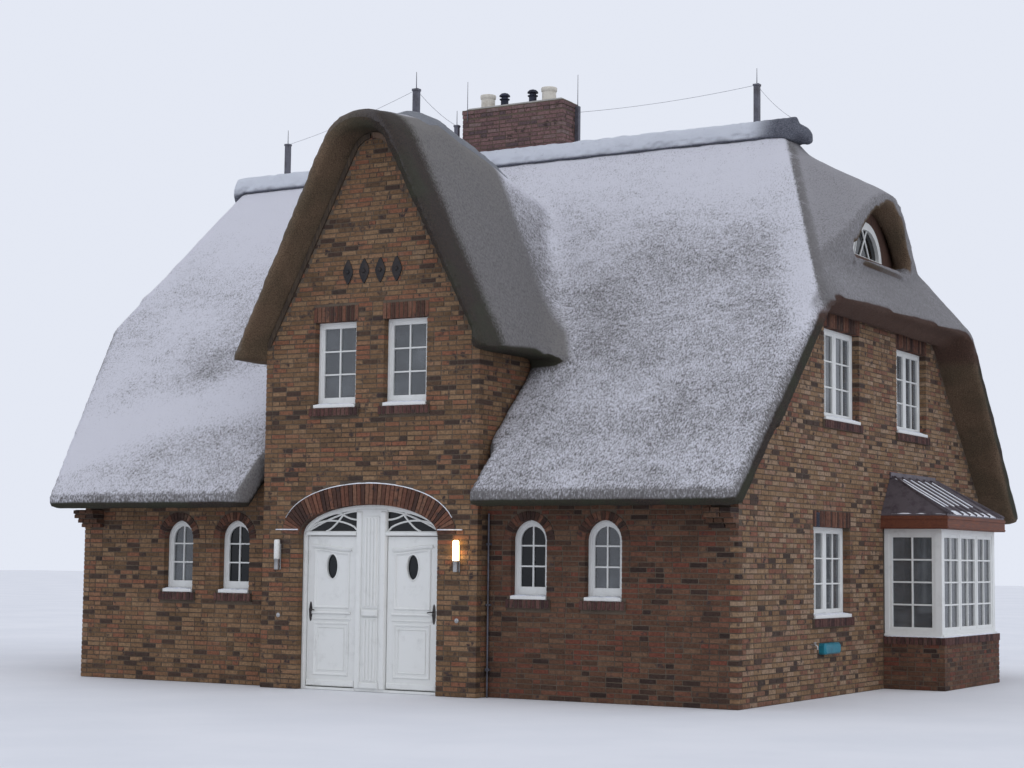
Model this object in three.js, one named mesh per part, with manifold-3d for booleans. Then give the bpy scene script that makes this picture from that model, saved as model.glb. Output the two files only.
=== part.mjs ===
import * as THREE from "three";
import { ConvexGeometry } from "three/addons/geometries/ConvexGeometry.js";
import { mergeVertices } from "three/addons/utils/BufferGeometryUtils.js";
import Module from "manifold-3d";

const wasm = await Module();
wasm.setup();

// All sizes in mm. X runs along the front, Y runs from the front to the rear, Z is up.
const GAP = 0.3;
const WALL_HALF = 5350;
const DEPTH = 10000;
const WALL_T = 360;

// Main thatch: lower edge of the eaves, half hips and ridge.
const EAVE_Z = 2500;
const EAVE_OUT = 900;
const VERGE_X_RIGHT = 5600;
const VERGE_X_LEFT = -5450;
const HIP_Z = 5380;
const HIP_X_RIGHT = 5750;
const HIP_X_LEFT = -6980;
const RIDGE_Z = 8400;
const RIDGE_X_RIGHT = 4000;
const RIDGE_X_LEFT = -6440;
const RIDGE_Y = DEPTH / 2;
const THATCH_T = 340;
const THATCH_DROP = THATCH_T * Math.SQRT2;

// Door bay with its cross gable.
const BAY_C = -30;
const BAY_HALF = 1760;
const BAY_OUT = 260;
const BAY_VERGE_Y = -720;
const BAY_EAVE_Z = 4580;
const BAY_RIDGE_Z = 8060;
const BAY_END_Y = 4500;
// Height of the cross gable ridge above or below BAY_RIDGE_Z: front edge, highest point, far end.
const BAY_LIFT = [[-570, -80], [700, 60], [4500, -740]];
const BAY_FALL = (BAY_LIFT[1][1] - BAY_LIFT[2][1]) / (BAY_LIFT[2][0] - BAY_LIFT[1][0]);
const BAY_SPLAY = 130;
const CUT_CLEAR = 130;

// Doorway.
const DOOR_HALF = 1145;
const DOOR_SPRING_Z = 2130;
const DOOR_CROWN_Z = 2545;
const DOOR_FRAME = 65;
const DOOR_POST_HALF = 250;
const DOOR_HEAD_Z = 2120;
const LEAF_T = 60;
const LEAF_CLEAR = 10;
const DOOR_Y = -150;
const HINGE_OUT = 10;
const HINGE_Z = [260, 1120, 1780];
const HINGE_LEN = 70;

const FLOOR_Z = 40;
const UPPER_Z0 = 2500;
const UPPER_Z1 = 2740;

const COLORS = {
  brick: [0x6b4f42, 0.9, 0.0],
  thatch: [0xa3a09c, 1.0, 0.0],
  cap: [0x6f7884, 0.95, 0.0],
  white: [0xd9dcdc, 0.5, 0.0],
  glass: [0x3a4248, 0.1, 0.0],
  floor: [0x9a948a, 0.9, 0.0],
  metal: [0x77757d, 0.4, 0.6],
  fascia: [0x7a4630, 0.7, 0.0],
  pot: [0xcfc6b2, 0.8, 0.0],
  cowl: [0x202124, 0.5, 0.5],
  iron: [0x26262a, 0.6, 0.6],
};

const group = new THREE.Group();
group.name = "thatched_brick_house";

function toManifold(geometry) {
  const g = geometry.clone();
  g.deleteAttribute("normal");
  g.deleteAttribute("uv");
  const m = mergeVertices(g, 1e-4);
  const index = m.getIndex();
  return new wasm.Manifold(new wasm.Mesh({
    numProp: 3,
    vertProperties: new Float32Array(m.attributes.position.array),
    triVerts: new Uint32Array(index.array),
  }));
}

function toGeometry(solid) {
  const mesh = solid.getMesh();
  const g = new THREE.BufferGeometry();
  g.setAttribute("position", new THREE.BufferAttribute(new Float32Array(mesh.vertProperties), 3));
  g.setIndex(new THREE.BufferAttribute(new Uint32Array(mesh.triVerts), 1));
  g.computeVertexNormals();
  return g;
}

function add(name, solid, slot) {
  const [color, roughness, metalness] = COLORS[slot];
  const material = new THREE.MeshStandardMaterial({ color, roughness, metalness });
  const mesh = new THREE.Mesh(toGeometry(solid), material);
  mesh.name = name;
  group.add(mesh);
}

function box(x0, x1, y0, y1, z0, z1) {
  const g = new THREE.BoxGeometry(x1 - x0, y1 - y0, z1 - z0);
  g.translate((x0 + x1) / 2, (y0 + y1) / 2, (z0 + z1) / 2);
  return toManifold(g);
}

function hull(points) {
  return toManifold(new ConvexGeometry(points.map((p) => new THREE.Vector3(p[0], p[1], p[2]))));
}

function union(...solids) {
  return solids.reduce((a, b) => a.add(b));
}

// Prism of an XZ outline (points counter-clockwise seen from the front) between two Y planes.
function prismY(points, y0, y1) {
  const shape = new THREE.Shape(points.map((p) => new THREE.Vector2(p[0], p[1])));
  const g = new THREE.ExtrudeGeometry(shape, { depth: y1 - y0, bevelEnabled: false, curveSegments: 1 });
  g.rotateX(Math.PI / 2);
  g.translate(0, y1, 0);
  return toManifold(g);
}

// Prism of a YZ outline between two X planes.
function prismX(points, x0, x1) {
  const shape = new THREE.Shape(points.map((p) => new THREE.Vector2(p[0], p[1])));
  const g = new THREE.ExtrudeGeometry(shape, { depth: x1 - x0, bevelEnabled: false, curveSegments: 1 });
  g.rotateX(Math.PI / 2);
  g.rotateZ(Math.PI / 2);
  g.translate(x0, 0, 0);
  return toManifold(g);
}

// Upright round or tapered pin.
function cylinderZ(x, y, z0, z1, r0, r1, n) {
  const g = new THREE.CylinderGeometry(r1, r0, z1 - z0, n);
  g.rotateX(Math.PI / 2);
  g.translate(x, y, (z0 + z1) / 2);
  return toManifold(g);
}

// Points of a segmental arch from left springing to right springing.
function archPoints(cx, half, springZ, crownZ, n) {
  const rise = crownZ - springZ;
  const r = (half * half + rise * rise) / (2 * rise);
  const a = Math.asin(half / r);
  const pts = [];
  for (let i = 0; i <= n; i += 1) {
    const t = -a + (2 * a * i) / n;
    pts.push([cx + r * Math.sin(t), crownZ - r + r * Math.cos(t)]);
  }
  return pts;
}

// Outline of a doorway with a half-elliptical head.
function ovalOutline(cx, half, z0, springZ, crownZ, n) {
  const pts = [[cx + half, z0]];
  for (let i = 0; i <= n; i += 1) {
    const a = (Math.PI * i) / n;
    pts.push([cx + half * Math.cos(a), springZ + (crownZ - springZ) * Math.sin(a)]);
  }
  pts.push([cx - half, z0]);
  return pts;
}

function archOutline(cx, half, z0, springZ, crownZ, n) {
  return [[cx + half, z0], ...archPoints(cx, half, springZ, crownZ, n).reverse(), [cx - half, z0]];
}

// Main roof.
const hipY = HIP_Z - EAVE_Z - EAVE_OUT;
const ROUND_EAVE = 120;
const ROUND_HIP = 260;
// The right end stands further out at its rear corners.
const REAR_FLARE = 250;

// Line in the XZ plane through two points, moved outward by d; gives x at a height.
function endLine(x0, z0, x1, z1, d) {
  const dx = x1 - x0;
  const dz = z1 - z0;
  const len = Math.hypot(dx, dz);
  const s = Math.sign(x0);
  const nx = (dz / len) * s;
  const nz = (-dx / len) * s;
  return { x: x0 + nx * d, z: z0 + nz * d, k: dx / dz };
}

// The three corners of one roof end with every face moved outward by d.
function endCorners(side, d, low) {
  const verge = side > 0 ? VERGE_X_RIGHT : VERGE_X_LEFT;
  const hip = side > 0 ? HIP_X_RIGHT : HIP_X_LEFT;
  const ridge = side > 0 ? RIDGE_X_RIGHT : RIDGE_X_LEFT;
  const a = endLine(verge, EAVE_Z, hip, HIP_Z, d);
  const b = endLine(hip, HIP_Z, ridge, RIDGE_Z, d);
  const zc = (b.x - b.k * b.z - a.x + a.k * a.z) / (a.k - b.k);
  const xc = a.x + a.k * (zc - a.z);
  const zr = RIDGE_Z + d * Math.SQRT2;
  const front = (z) => z - EAVE_Z - EAVE_OUT - d * Math.SQRT2;
  return {
    eave: [a.x + a.k * (low - a.z), front(low), low],
    hip: [xc, front(zc), zc],
    ridge: [b.x + b.k * (zr - b.z), RIDGE_Y, zr],
  };
}

function ballPoints(center, r) {
  const g = new THREE.IcosahedronGeometry(r, 2);
  const pos = g.getAttribute("position");
  const out = [];
  for (let i = 0; i < pos.count; i += 1) {
    out.push([center[0] + pos.getX(i), center[1] + pos.getY(i), center[2] + pos.getZ(i)]);
  }
  return out;
}

function mainOuter(grow) {
  const pts = [];
  for (const side of [-1, 1]) {
    const low = endCorners(side, -ROUND_EAVE, EAVE_Z + ROUND_EAVE).eave;
    const high = endCorners(side, -ROUND_HIP, EAVE_Z);
    for (const mirror of [false, true]) {
      const flare = mirror && side > 0 ? REAR_FLARE : 0;
      const at = (p, out) => [p[0] + out, mirror ? DEPTH - p[1] : p[1], p[2]];
      pts.push(...ballPoints(at(low, flare), ROUND_EAVE + grow));
      pts.push(...ballPoints(at(high.hip, flare), ROUND_HIP + grow));
      pts.push(...ballPoints(at(high.ridge, 0), ROUND_HIP + grow));
    }
  }
  return hull(pts);
}

function innerProfile(extra) {
  const top = RIDGE_Z - THATCH_DROP - extra * Math.SQRT2;
  const low = 0;
  return [[RIDGE_Y + (top - low), low], [RIDGE_Y, top], [RIDGE_Y - (top - low), low]];
}

function hipLine(cornerX, ridgeX, inset) {
  const dx = ridgeX - cornerX;
  const dz = RIDGE_Z - HIP_Z;
  const len = Math.hypot(dx, dz);
  const sign = Math.sign(cornerX);
  const nx = (dz / len) * sign;
  const nz = (Math.abs(dx) / len);
  const x = cornerX - nx * inset;
  const z = HIP_Z - nz * inset;
  const k = dx / dz;
  return { x, z, at: (zz) => x + k * (zz - z) };
}

// Space under the thatch, drawn in by extra on every side.
function mainInner(extra) {
  const profile = prismX(innerProfile(extra), -9000, 9000);
  const right = hipLine(HIP_X_RIGHT, RIDGE_X_RIGHT, THATCH_T + extra);
  const left = hipLine(HIP_X_LEFT, RIDGE_X_LEFT, THATCH_T + extra);
  const ends = prismY([
    [left.at(0), 0], [right.at(0), 0], [right.at(9000), 9000], [left.at(9000), 9000],
  ], -5000, DEPTH + 5000);
  return profile.intersect(ends);
}

function hipFootCut(cornerX, ridgeX) {
  const s = Math.sign(cornerX);
  const foot = hipLine(cornerX, ridgeX, THATCH_T);
  const far = s * 9000;
  const pts = [[foot.x, -100], [foot.x, foot.z], [cornerX, HIP_Z], [far, HIP_Z], [far, -100]];
  const outline = s > 0 ? pts.reverse() : pts;
  return prismY(outline, -5000, DEPTH + 5000).intersect(prismX(innerProfile(0), -9000, 9000));
}

// Outline of the cross gable thatch at the front, outside and inside, from its middle line.
const BAY_SLOPE = 2.02;
const BAY_FOOT = 2150;

function roundedGable(foot, footZ, slopeK, top, n) {
  // Two straight slopes joined by an arc under the given top height.
  const half = Math.atan(slopeK);
  const sharp = footZ + foot * slopeK;
  const r = (sharp - top) / (1 / Math.cos(half) - 1);
  const cz = top - r;
  const pts = [[-foot, footZ]];
  for (let i = 0; i <= n; i += 1) {
    const a = Math.PI / 2 + half - (2 * half * i) / n;
    pts.push([r * Math.cos(a), cz + r * Math.sin(a)]);
  }
  pts.push([foot, footZ]);
  return pts;
}

const BAY_OUTER = roundedGable(BAY_FOOT, BAY_EAVE_Z, BAY_SLOPE, BAY_RIDGE_Z, 12);
const BAY_INNER = roundedGable(BAY_HALF, 4800, 1.9, 7720, 8);

function offsetOutline(pts, d) {
  return pts.map((p, i) => {
    const a = pts[Math.max(0, i - 1)];
    const b = pts[Math.min(pts.length - 1, i + 1)];
    const len = Math.hypot(b[0] - a[0], b[1] - a[1]);
    return [p[0] - ((b[1] - a[1]) / len) * d, p[1] + ((b[0] - a[0]) / len) * d];
  });
}

function bayLift(y) {
  const [a, b, c] = BAY_LIFT;
  if (y < b[0]) {
    return b[1] + ((a[1] - b[1]) * (b[0] - y)) / (b[0] - a[0]);
  }
  return b[1] + ((c[1] - b[1]) * (y - b[0])) / (c[0] - b[0]);
}

function bayRing(line, y, lift) {
  const low = 3000;
  const ends = [[line[0][0], low], ...line, [line[line.length - 1][0], low]];
  return ends.map(([x, z]) => [BAY_C + x, y, z === low ? low : z + lift]);
}

// Outside of the cross gable thatch: its ridge climbs to a hump and then falls to the main roof.
function bayOuter(grow) {
  const edge = 150;
  const pts = [];
  for (let i = 0; i < 5; i += 1) {
    const a = (Math.PI / 2) * (i / 5);
    const line = offsetOutline(BAY_OUTER, grow - edge * (1 - Math.sin(a)));
    pts.push(...bayRing(line, BAY_VERGE_Y + edge * (1 - Math.cos(a)), BAY_LIFT[0][1]));
  }
  const line = offsetOutline(BAY_OUTER, grow);
  for (const y of [BAY_VERGE_Y + edge, BAY_LIFT[1][0], BAY_END_Y]) {
    pts.push(...bayRing(line, y, bayLift(y)));
  }
  return hull(pts);
}

function baySpace(grow) {
  const line = offsetOutline(BAY_INNER, grow);
  const far = 6000;
  return hull([
    ...bayRing(line, -3000, 0), ...bayRing(line, BAY_LIFT[1][0], 0),
    ...bayRing(line, far, -BAY_FALL * (far - BAY_LIFT[1][0])),
  ]);
}

// The underside of the verge opens outward from the wall face to the front edge.
function baySplay() {
  const wide = BAY_INNER.map(([x, z]) => [x + BAY_SPLAY * Math.max(-1, Math.min(1, x / 250)), z]);
  return hull([...bayRing(BAY_INNER, -BAY_OUT + 5, 0), ...bayRing(wide, BAY_VERGE_Y - 5, 0)]);
}

function bayInner(extra, y0, y1, half) {
  const limit = box(BAY_C - half + extra, BAY_C + half - extra, y0, y1, -100, 9000);
  const body = baySpace(-extra).intersect(box(-9000, 9000, y0, y1, 0, 9000));
  const below = box(BAY_C - half, BAY_C + half, y0, y1, -100, 3001);
  return body.add(below).intersect(limit);
}

// Rounded valley between the cross gable and the main roof, made of short cells from the eave up.
// At each station the two slopes are blended over the height band VALLEY.low to VALLEY.high.
const VALLEY = { y0: 700, y1: 3800, low: 900, high: 70, stations: 12, steps: 8, depth: 120 };

function mainTop(y) {
  return y + EAVE_Z + EAVE_OUT;
}

function bayTop(x, y) {
  const fall = -bayLift(y);
  const arc = BAY_OUTER.slice(1, -1).filter((p) => p[0] >= -1);
  const last = arc[arc.length - 1];
  if (x >= last[0]) {
    return last[1] - (x - last[0]) * BAY_SLOPE - fall;
  }
  const i = arc.findIndex((p) => p[0] >= x);
  const [p, q] = [arc[Math.max(0, i - 1)], arc[i]];
  const t = q[0] > p[0] ? (x - p[0]) / (q[0] - p[0]) : 0;
  return p[1] + (q[1] - p[1]) * t - fall;
}

function bayReach(z, y) {
  // The distance from the middle line at which the cross gable roof is at height z.
  let [a, b] = [0, 4000];
  for (let i = 0; i < 40; i += 1) {
    const m = (a + b) / 2;
    if (bayTop(m, y) > z) {
      a = m;
    } else {
      b = m;
    }
  }
  return (a + b) / 2;
}

function valleyStation(t) {
  const y = VALLEY.y0 + (VALLEY.y1 - VALLEY.y0) * t;
  const band = VALLEY.high + (VALLEY.low - VALLEY.high) * (1 - t) ** 0.7;
  const zm = mainTop(y);
  const rows = [];
  for (let i = 0; i <= VALLEY.steps; i += 1) {
    const d = -band + (2 * band * i) / VALLEY.steps;
    const h = band - Math.abs(d);
    const end = i === 0 || i === VALLEY.steps;
    const top = Math.max(zm, zm - d) + (h * h) / (4 * band) - (end ? 0.6 : 0);
    rows.push({ x: bayReach(zm - d, y), y, top, low: Math.min(zm, zm - d) - VALLEY.depth });
  }
  return rows;
}

function valleyFillet(side) {
  const cells = [];
  let last = valleyStation(0);
  for (let j = 1; j <= VALLEY.stations; j += 1) {
    const next = valleyStation(j / VALLEY.stations);
    for (let i = 0; i < VALLEY.steps; i += 1) {
      const pts = [last[i], last[i + 1], next[i], next[i + 1]].flatMap((p) => [
        [BAY_C + side * p.x, p.y, p.top],
        [BAY_C + side * p.x, p.y, p.low],
      ]);
      cells.push(hull(pts));
    }
    last = next;
  }
  return union(...cells);
}

const OUTER = mainOuter(0);

function mainThatch() {
  let roof = OUTER;
  roof = roof.subtract(mainInner(0));
  roof = roof.subtract(hipFootCut(HIP_X_RIGHT, RIDGE_X_RIGHT));
  roof = roof.subtract(hipFootCut(HIP_X_LEFT, RIDGE_X_LEFT));
  const side = BAY_HALF + CUT_CLEAR;
  roof = roof.subtract(box(BAY_C - side, BAY_C + side, -3000, GAP, 0, 9000));
  roof = roof.subtract(bayInner(0, -3000, 5200, BAY_HALF + GAP));
  roof = roof.subtract(eyebrowInner(1));
  roof = roof.subtract(eyebrowInner(-1));
  roof = roof.subtract(chimneyShaft(GAP));
  return roof;
}

function bayThatch() {
  let roof = bayOuter(0);
  roof = union(roof, valleyFillet(-1), valleyFillet(1));
  roof = roof.intersect(box(-9000, 9000, -3000, 9000, BAY_EAVE_Z, 9000));
  const inner = baySpace(0).add(baySplay());
  const low = box(BAY_C - BAY_HALF, BAY_C + BAY_HALF, -3000, 6000, 0, 4801);
  roof = roof.subtract(inner).subtract(low);
  return roof.subtract(mainOuter(GAP));
}

// Eyebrow dormers on the half hips: an arch at the face whose thatch flares into the hip beside it.
const BROW = {
  half: 1300, z0: 6170, top: 7080, t: 170, flare: 2200, swell: 0.8, rise: 0.72, out: 290, wallIn: 100,
};

function browArch(half, z0, top, n) {
  const pts = [];
  for (let i = 0; i <= n; i += 1) {
    const a = (Math.PI * i) / n;
    pts.push([RIDGE_Y + half * Math.cos(a), z0 + (top - z0) * Math.sin(a)]);
  }
  return pts;
}

function browSide(side) {
  const cornerX = side > 0 ? HIP_X_RIGHT : HIP_X_LEFT;
  const ridgeX = side > 0 ? RIDGE_X_RIGHT : RIDGE_X_LEFT;
  const line = hipLine(cornerX, ridgeX, 0);
  const face = line.at(BROW.z0) + side * 20;
  return { line, face };
}

function eyebrowOuter(side) {
  const { line, face } = browSide(side);
  const steps = 28;
  const low = BROW.z0 - 10;
  const pitch = 1000 / Math.abs(line.at(BROW.z0) - line.at(BROW.z0 + 1000));
  const section = (i) => {
    const w = -BROW.flare + (2 * BROW.flare * i) / steps;
    const bell = ((1 + Math.cos((Math.PI * w) / BROW.flare)) / 2) ** BROW.swell;
    const high = (BROW.top + BROW.t - BROW.z0) * bell;
    const out = BROW.out * bell ** 0.6;
    const meet = BROW.z0 + (pitch * (high + BROW.rise * out)) / (pitch - BROW.rise);
    const zb = Math.max(BROW.z0 + high, Math.min(meet, RIDGE_Z - 380, RIDGE_Z - Math.abs(w) - 150));
    const back = line.at(zb) - side * 60;
    const y = RIDGE_Y + w;
    const z = BROW.z0 + high;
    const lip = face + side * out;
    return [[lip, y, low], [lip, y, z], [back, y, zb], [back, y, low]];
  };
  const cells = [];
  for (let i = 0; i < steps; i += 1) {
    cells.push(hull([...section(i), ...section(i + 1)]));
  }
  return union(...cells);
}

function eyebrowInner(side) {
  const { face } = browSide(side);
  const x0 = Math.min(face - side * 1600, face + side * 900);
  const x1 = Math.max(face - side * 1600, face + side * 900);
  return prismX(browArch(BROW.half, BROW.z0 + 20, BROW.top, 20), x0, x1);
}

function eyebrowThatch(side) {
  return eyebrowOuter(side).subtract(eyebrowInner(side)).subtract(mainOuter(GAP));
}

// Chimney.
const CH = { x0: -1855, x1: 45, y0: 5040, y1: 5540, z1: 9300 };

function chimneyShaft(grow) {
  return box(CH.x0 - grow, CH.x1 + grow, CH.y0 - grow, CH.y1 + grow, UPPER_Z1, 9800);
}

function chimney() {
  const shaft = box(CH.x0, CH.x1, CH.y0, CH.y1, UPPER_Z1 + GAP, CH.z1 - 60);
  const head = box(CH.x0 - 12, CH.x1 + 12, CH.y0 - 12, CH.y1 + 12, CH.z1 - 75, CH.z1);
  return shaft.add(head);
}

function wallTrim(solid) {
  return solid.intersect(mainInner(GAP));
}

// Opening for a front or rear window with a round or flat head.
function windowHole(w, y0, y1) {
  if (w.arched) {
    return prismY(archOutline(w.x, w.w / 2, w.z0, w.z1 - w.w / 2 + 1, w.z1, 12), y0, y1);
  }
  return box(w.x - w.w / 2, w.x + w.w / 2, y0, y1, w.z0, w.z1);
}

// One window: frame ring with the glazing held in it. Outline drawn in by the gap.
function windowUnit(w, yFace, dir) {
  const rim = 70;
  const deep = 70;
  const inset = (d) => ({ x: w.x, w: w.w - 2 * d, z0: w.z0 + d, z1: w.z1 - d, arched: w.arched });
  const a = Math.min(yFace, yFace + dir * deep);
  const ring = windowHole(inset(GAP), a, a + deep);
  const open = windowHole(inset(rim), a - 10, a + deep + 10);
  const pane = windowHole(inset(rim - 10), a + deep / 2 - 6, a + deep / 2 + 6);
  let unit = ring.subtract(open).add(pane);
  if (w.mullion) {
    unit = unit.add(box(w.x - 40, w.x + 40, a, a + deep, w.z0 + rim - 10, w.z1 - rim + 10));
  }
  return unit;
}

// A front window at (x, yFace) becomes a gable window at Y = x on the given side.
function turnToGable(solid, side) {
  const right = solid.rotate([0, 0, 90]).translate([WALL_HALF, 0, 0]);
  return side > 0 ? right : right.mirror([1, 0, 0]);
}

const FRONT_WINDOWS = [
  { name: "arched_window_1", x: -3530, w: 540, z0: 1290, z1: 2340, arched: true },
  { name: "arched_window_2", x: -2500, w: 540, z0: 1290, z1: 2340, arched: true },
  { name: "arched_window_3", x: 2370, w: 540, z0: 1290, z1: 2340, arched: true },
  { name: "arched_window_4", x: 3470, w: 540, z0: 1290, z1: 2340, arched: true },
];
const BAY_WINDOWS = [
  { name: "bay_upper_window_left", x: -610, w: 700, z0: 3880, z1: 5090 },
  { name: "bay_upper_window_right", x: 550, w: 700, z0: 3880, z1: 5090 },
];
const GABLE_WINDOWS = [
  { name: "upper_front", x: 3600, w: 1380, z0: 3780, z1: 5080, mullion: true },
  { name: "upper_rear", x: 6600, w: 1380, z0: 3780, z1: 5080, mullion: true },
  { name: "lower_front", x: 3200, w: 1380, z0: 1060, z1: 2310, mullion: true },
];
const REAR_WINDOWS = [-3500, 0, 3500].map((x, i) => ({
  name: "rear_window_" + (i + 1), x, w: 1380, z0: 1060, z1: 2310, mullion: true,
}));

const REVEAL = 100;

function frontWall(side) {
  const x0 = side > 0 ? BAY_C + BAY_HALF + GAP : -WALL_HALF;
  const x1 = side > 0 ? WALL_HALF : BAY_C - BAY_HALF - GAP;
  let wall = box(x0, x1, 0, WALL_T, 0, 4000);
  for (const w of FRONT_WINDOWS) {
    if (Math.sign(w.x) === side) {
      wall = wall.subtract(windowHole(w, -50, WALL_T + 50));
      wall = wall.add(box(w.x - w.w / 2 - 60, w.x + w.w / 2 + 60, -40, 1, w.z0 - 110, w.z0));
    }
  }
  const cx0 = side > 0 ? WALL_HALF - WALL_T : -WALL_HALF;
  const corbel = prismX([[1, 2230], [1, 2490], [-230, 2490], [-260, 2440]], cx0, cx0 + WALL_T);
  return wallTrim(wall).add(corbel);
}

function rearWall() {
  let wall = box(-WALL_HALF, WALL_HALF, DEPTH - WALL_T, DEPTH, 0, 4000);
  for (const w of REAR_WINDOWS) {
    wall = wall.subtract(windowHole(w, DEPTH - WALL_T - 50, DEPTH + 50));
    wall = wall.add(box(w.x - w.w / 2 - 60, w.x + w.w / 2 + 60, DEPTH - 1, DEPTH + 40, w.z0 - 110, w.z0));
  }
  let solid = wallTrim(wall);
  for (const cx0 of [-WALL_HALF, WALL_HALF - WALL_T]) {
    const corbel = prismX(
      [[DEPTH - 1, 2230], [DEPTH + 260, 2440], [DEPTH + 230, 2490], [DEPTH - 1, 2490]], cx0, cx0 + WALL_T,
    );
    solid = solid.add(corbel);
  }
  return solid;
}

// Canted bay window on the right gable, plan points counter-clockwise.
const CB = { y0: 5300, y1: 7920, out: 880, sill: 760, head: 2330, fascia: 2520, top: 3100 };

function boxBay(grow, z0, z1) {
  return box(WALL_HALF + GAP, WALL_HALF + CB.out + grow, CB.y0 - grow, CB.y1 + grow, z0, z1);
}

function boxBayBase() {
  const outer = boxBay(40, 0, CB.sill - GAP);
  const inner = box(WALL_HALF - 10, WALL_HALF + CB.out - 200, CB.y0 + 200, CB.y1 - 200, FLOOR_Z, 2000);
  return outer.subtract(inner);
}

function boxBayWindow() {
  const post = 110;
  let unit = boxBay(0, CB.sill, CB.head - GAP);
  unit = unit.subtract(box(
    WALL_HALF - 10, WALL_HALF + CB.out - post, CB.y0 + post, CB.y1 - post, 0, 4000,
  ));
  const z0 = CB.sill + 130;
  const z1 = CB.head - 110;
  const lights = [];
  const span = CB.y1 - CB.y0 - 2 * post;
  for (let i = 0; i < 3; i += 1) {
    const y0 = CB.y0 + post + (span * i) / 3 + 35;
    const y1 = CB.y0 + post + (span * (i + 1)) / 3 - 35;
    lights.push(box(WALL_HALF, WALL_HALF + CB.out + 10, y0, y1, z0, z1));
  }
  const side = box(WALL_HALF + 110, WALL_HALF + CB.out - post - 60, CB.y0 - 10, CB.y1 + 10, z0, z1);
  unit = unit.subtract(union(...lights, side));
  const x1 = WALL_HALF + CB.out;
  const paneFront = box(x1 - 62, x1 - 50, CB.y0 + post, CB.y1 - post, z0 - 10, z1 + 10);
  const paneLow = box(WALL_HALF + 100, x1 - post - 50, CB.y0 + 50, CB.y0 + 62, z0 - 10, z1 + 10);
  const paneHigh = box(WALL_HALF + 100, x1 - post - 50, CB.y1 - 62, CB.y1 - 50, z0 - 10, z1 + 10);
  return union(unit, paneFront, paneLow, paneHigh);
}

function boxBayFascia() {
  return boxBay(130, CB.head, CB.fascia - GAP).subtract(box(
    WALL_HALF - 10, WALL_HALF + CB.out - 110, CB.y0 + 110, CB.y1 - 110, 0, CB.fascia - 60,
  ));
}

function boxBayRoof() {
  const x0 = WALL_HALF + GAP;
  const x1 = WALL_HALF + CB.out + 120;
  const y0 = CB.y0 - 120;
  const y1 = CB.y1 + 120;
  return hull([
    [x0, y0, CB.fascia], [x1, y0, CB.fascia], [x1, y1, CB.fascia], [x0, y1, CB.fascia],
    [x0, y0, CB.fascia + 20], [x1, y0, CB.fascia + 20], [x1, y1, CB.fascia + 20], [x0, y1, CB.fascia + 20],
    [x0, y0 + 420, CB.top], [x0 + 60, y0 + 420, CB.top], [x0 + 60, y1 - 420, CB.top], [x0, y1 - 420, CB.top],
  ]);
}

// Round-topped capping on the ridges.
const CAP = { half: 190, rise: 160 };

function capArch(half, z0, top, n) {
  const pts = [];
  for (let i = 0; i <= n; i += 1) {
    const a = (Math.PI * i) / n;
    pts.push([half * Math.cos(a), z0 + (top - z0) * Math.sin(a)]);
  }
  return pts;
}

function mainCapRaw(x0, x1, grow) {
  const arch = capArch(CAP.half + grow, RIDGE_Z - CAP.half, RIDGE_Z + CAP.rise + grow, 14);
  const outline = [...arch.map(([y, z]) => [RIDGE_Y + y, z]), [RIDGE_Y, RIDGE_Z - 600]];
  return prismX(outline, x0, x1);
}

function mainCap(side) {
  const x0 = side > 0 ? CH.x0 : RIDGE_X_LEFT - 60;
  const x1 = side > 0 ? RIDGE_X_RIGHT + 130 : CH.x0 - GAP;
  return mainCapRaw(x0, x1, 0).subtract(mainOuter(GAP)).subtract(chimneyShaft(GAP));
}

function bayCapRaw(grow) {
  const pts = [];
  for (const [y, sink] of [[430, 95], [620, 25], [900, 0], [3100, 0], [3450, 60]]) {
    const ridge = BAY_RIDGE_Z + bayLift(Math.max(y, BAY_LIFT[1][0])) - sink;
    for (const [x, z] of capArch(210 + grow, ridge - 110, ridge + 90 + grow, 12)) {
      pts.push([BAY_C + x, y, z]);
    }
    pts.push([BAY_C, y, ridge - 500]);
  }
  return hull(pts);
}

function bayCap() {
  return bayCapRaw(0).subtract(bayOuter(GAP)).subtract(mainOuter(GAP));
}

function chimneyPots() {
  const x0 = CH.x0 + 60;
  const x1 = CH.x1 - 60;
  const cy = (CH.y0 + CH.y1) / 2;
  let pots = box(x0, x1, CH.y0 + 60, CH.y1 - 60, CH.z1 + GAP, CH.z1 + 40);
  for (const [dx, r0, r1, h, cowl] of [[0.2, 105, 115, 210, false], [0.38, 62, 70, 150, true],
    [0.66, 62, 70, 150, true], [0.84, 105, 115, 210, false]]) {
    const x = x0 + (x1 - x0) * dx;
    const base = cylinderZ(x, cy, CH.z1 + 20, CH.z1 + h, r0, r1, 24);
    const bore = cylinderZ(x, cy, CH.z1 + 80, CH.z1 + h + 10, r0 - 30, r1 - 22, 24);
    pots = pots.add(cowl ? base : base.subtract(bore));
    if (cowl) {
      pots = pots.add(cylinderZ(x, cy, CH.z1 + h - 20, CH.z1 + h + 70, 88, 40, 24));
    }
  }
  return pots;
}

function rodBetween(a, b, r) {
  const p = new THREE.Vector3(...a);
  const q = new THREE.Vector3(...b);
  const g = new THREE.CylinderGeometry(r, r, p.distanceTo(q), 8);
  const dir = q.clone().sub(p).normalize();
  g.applyQuaternion(new THREE.Quaternion().setFromUnitVectors(new THREE.Vector3(0, 1, 0), dir));
  const mid = p.add(q).multiplyScalar(0.5);
  g.translate(mid.x, mid.y, mid.z);
  return toManifold(g);
}

function lightningPost(x, y, z0, z1, rod) {
  return box(x - 42, x + 42, y - 42, y + 42, z0, z1).add(cylinderZ(x, y, z1 - 30, z1 + rod, 9, 9, 8));
}

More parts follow.
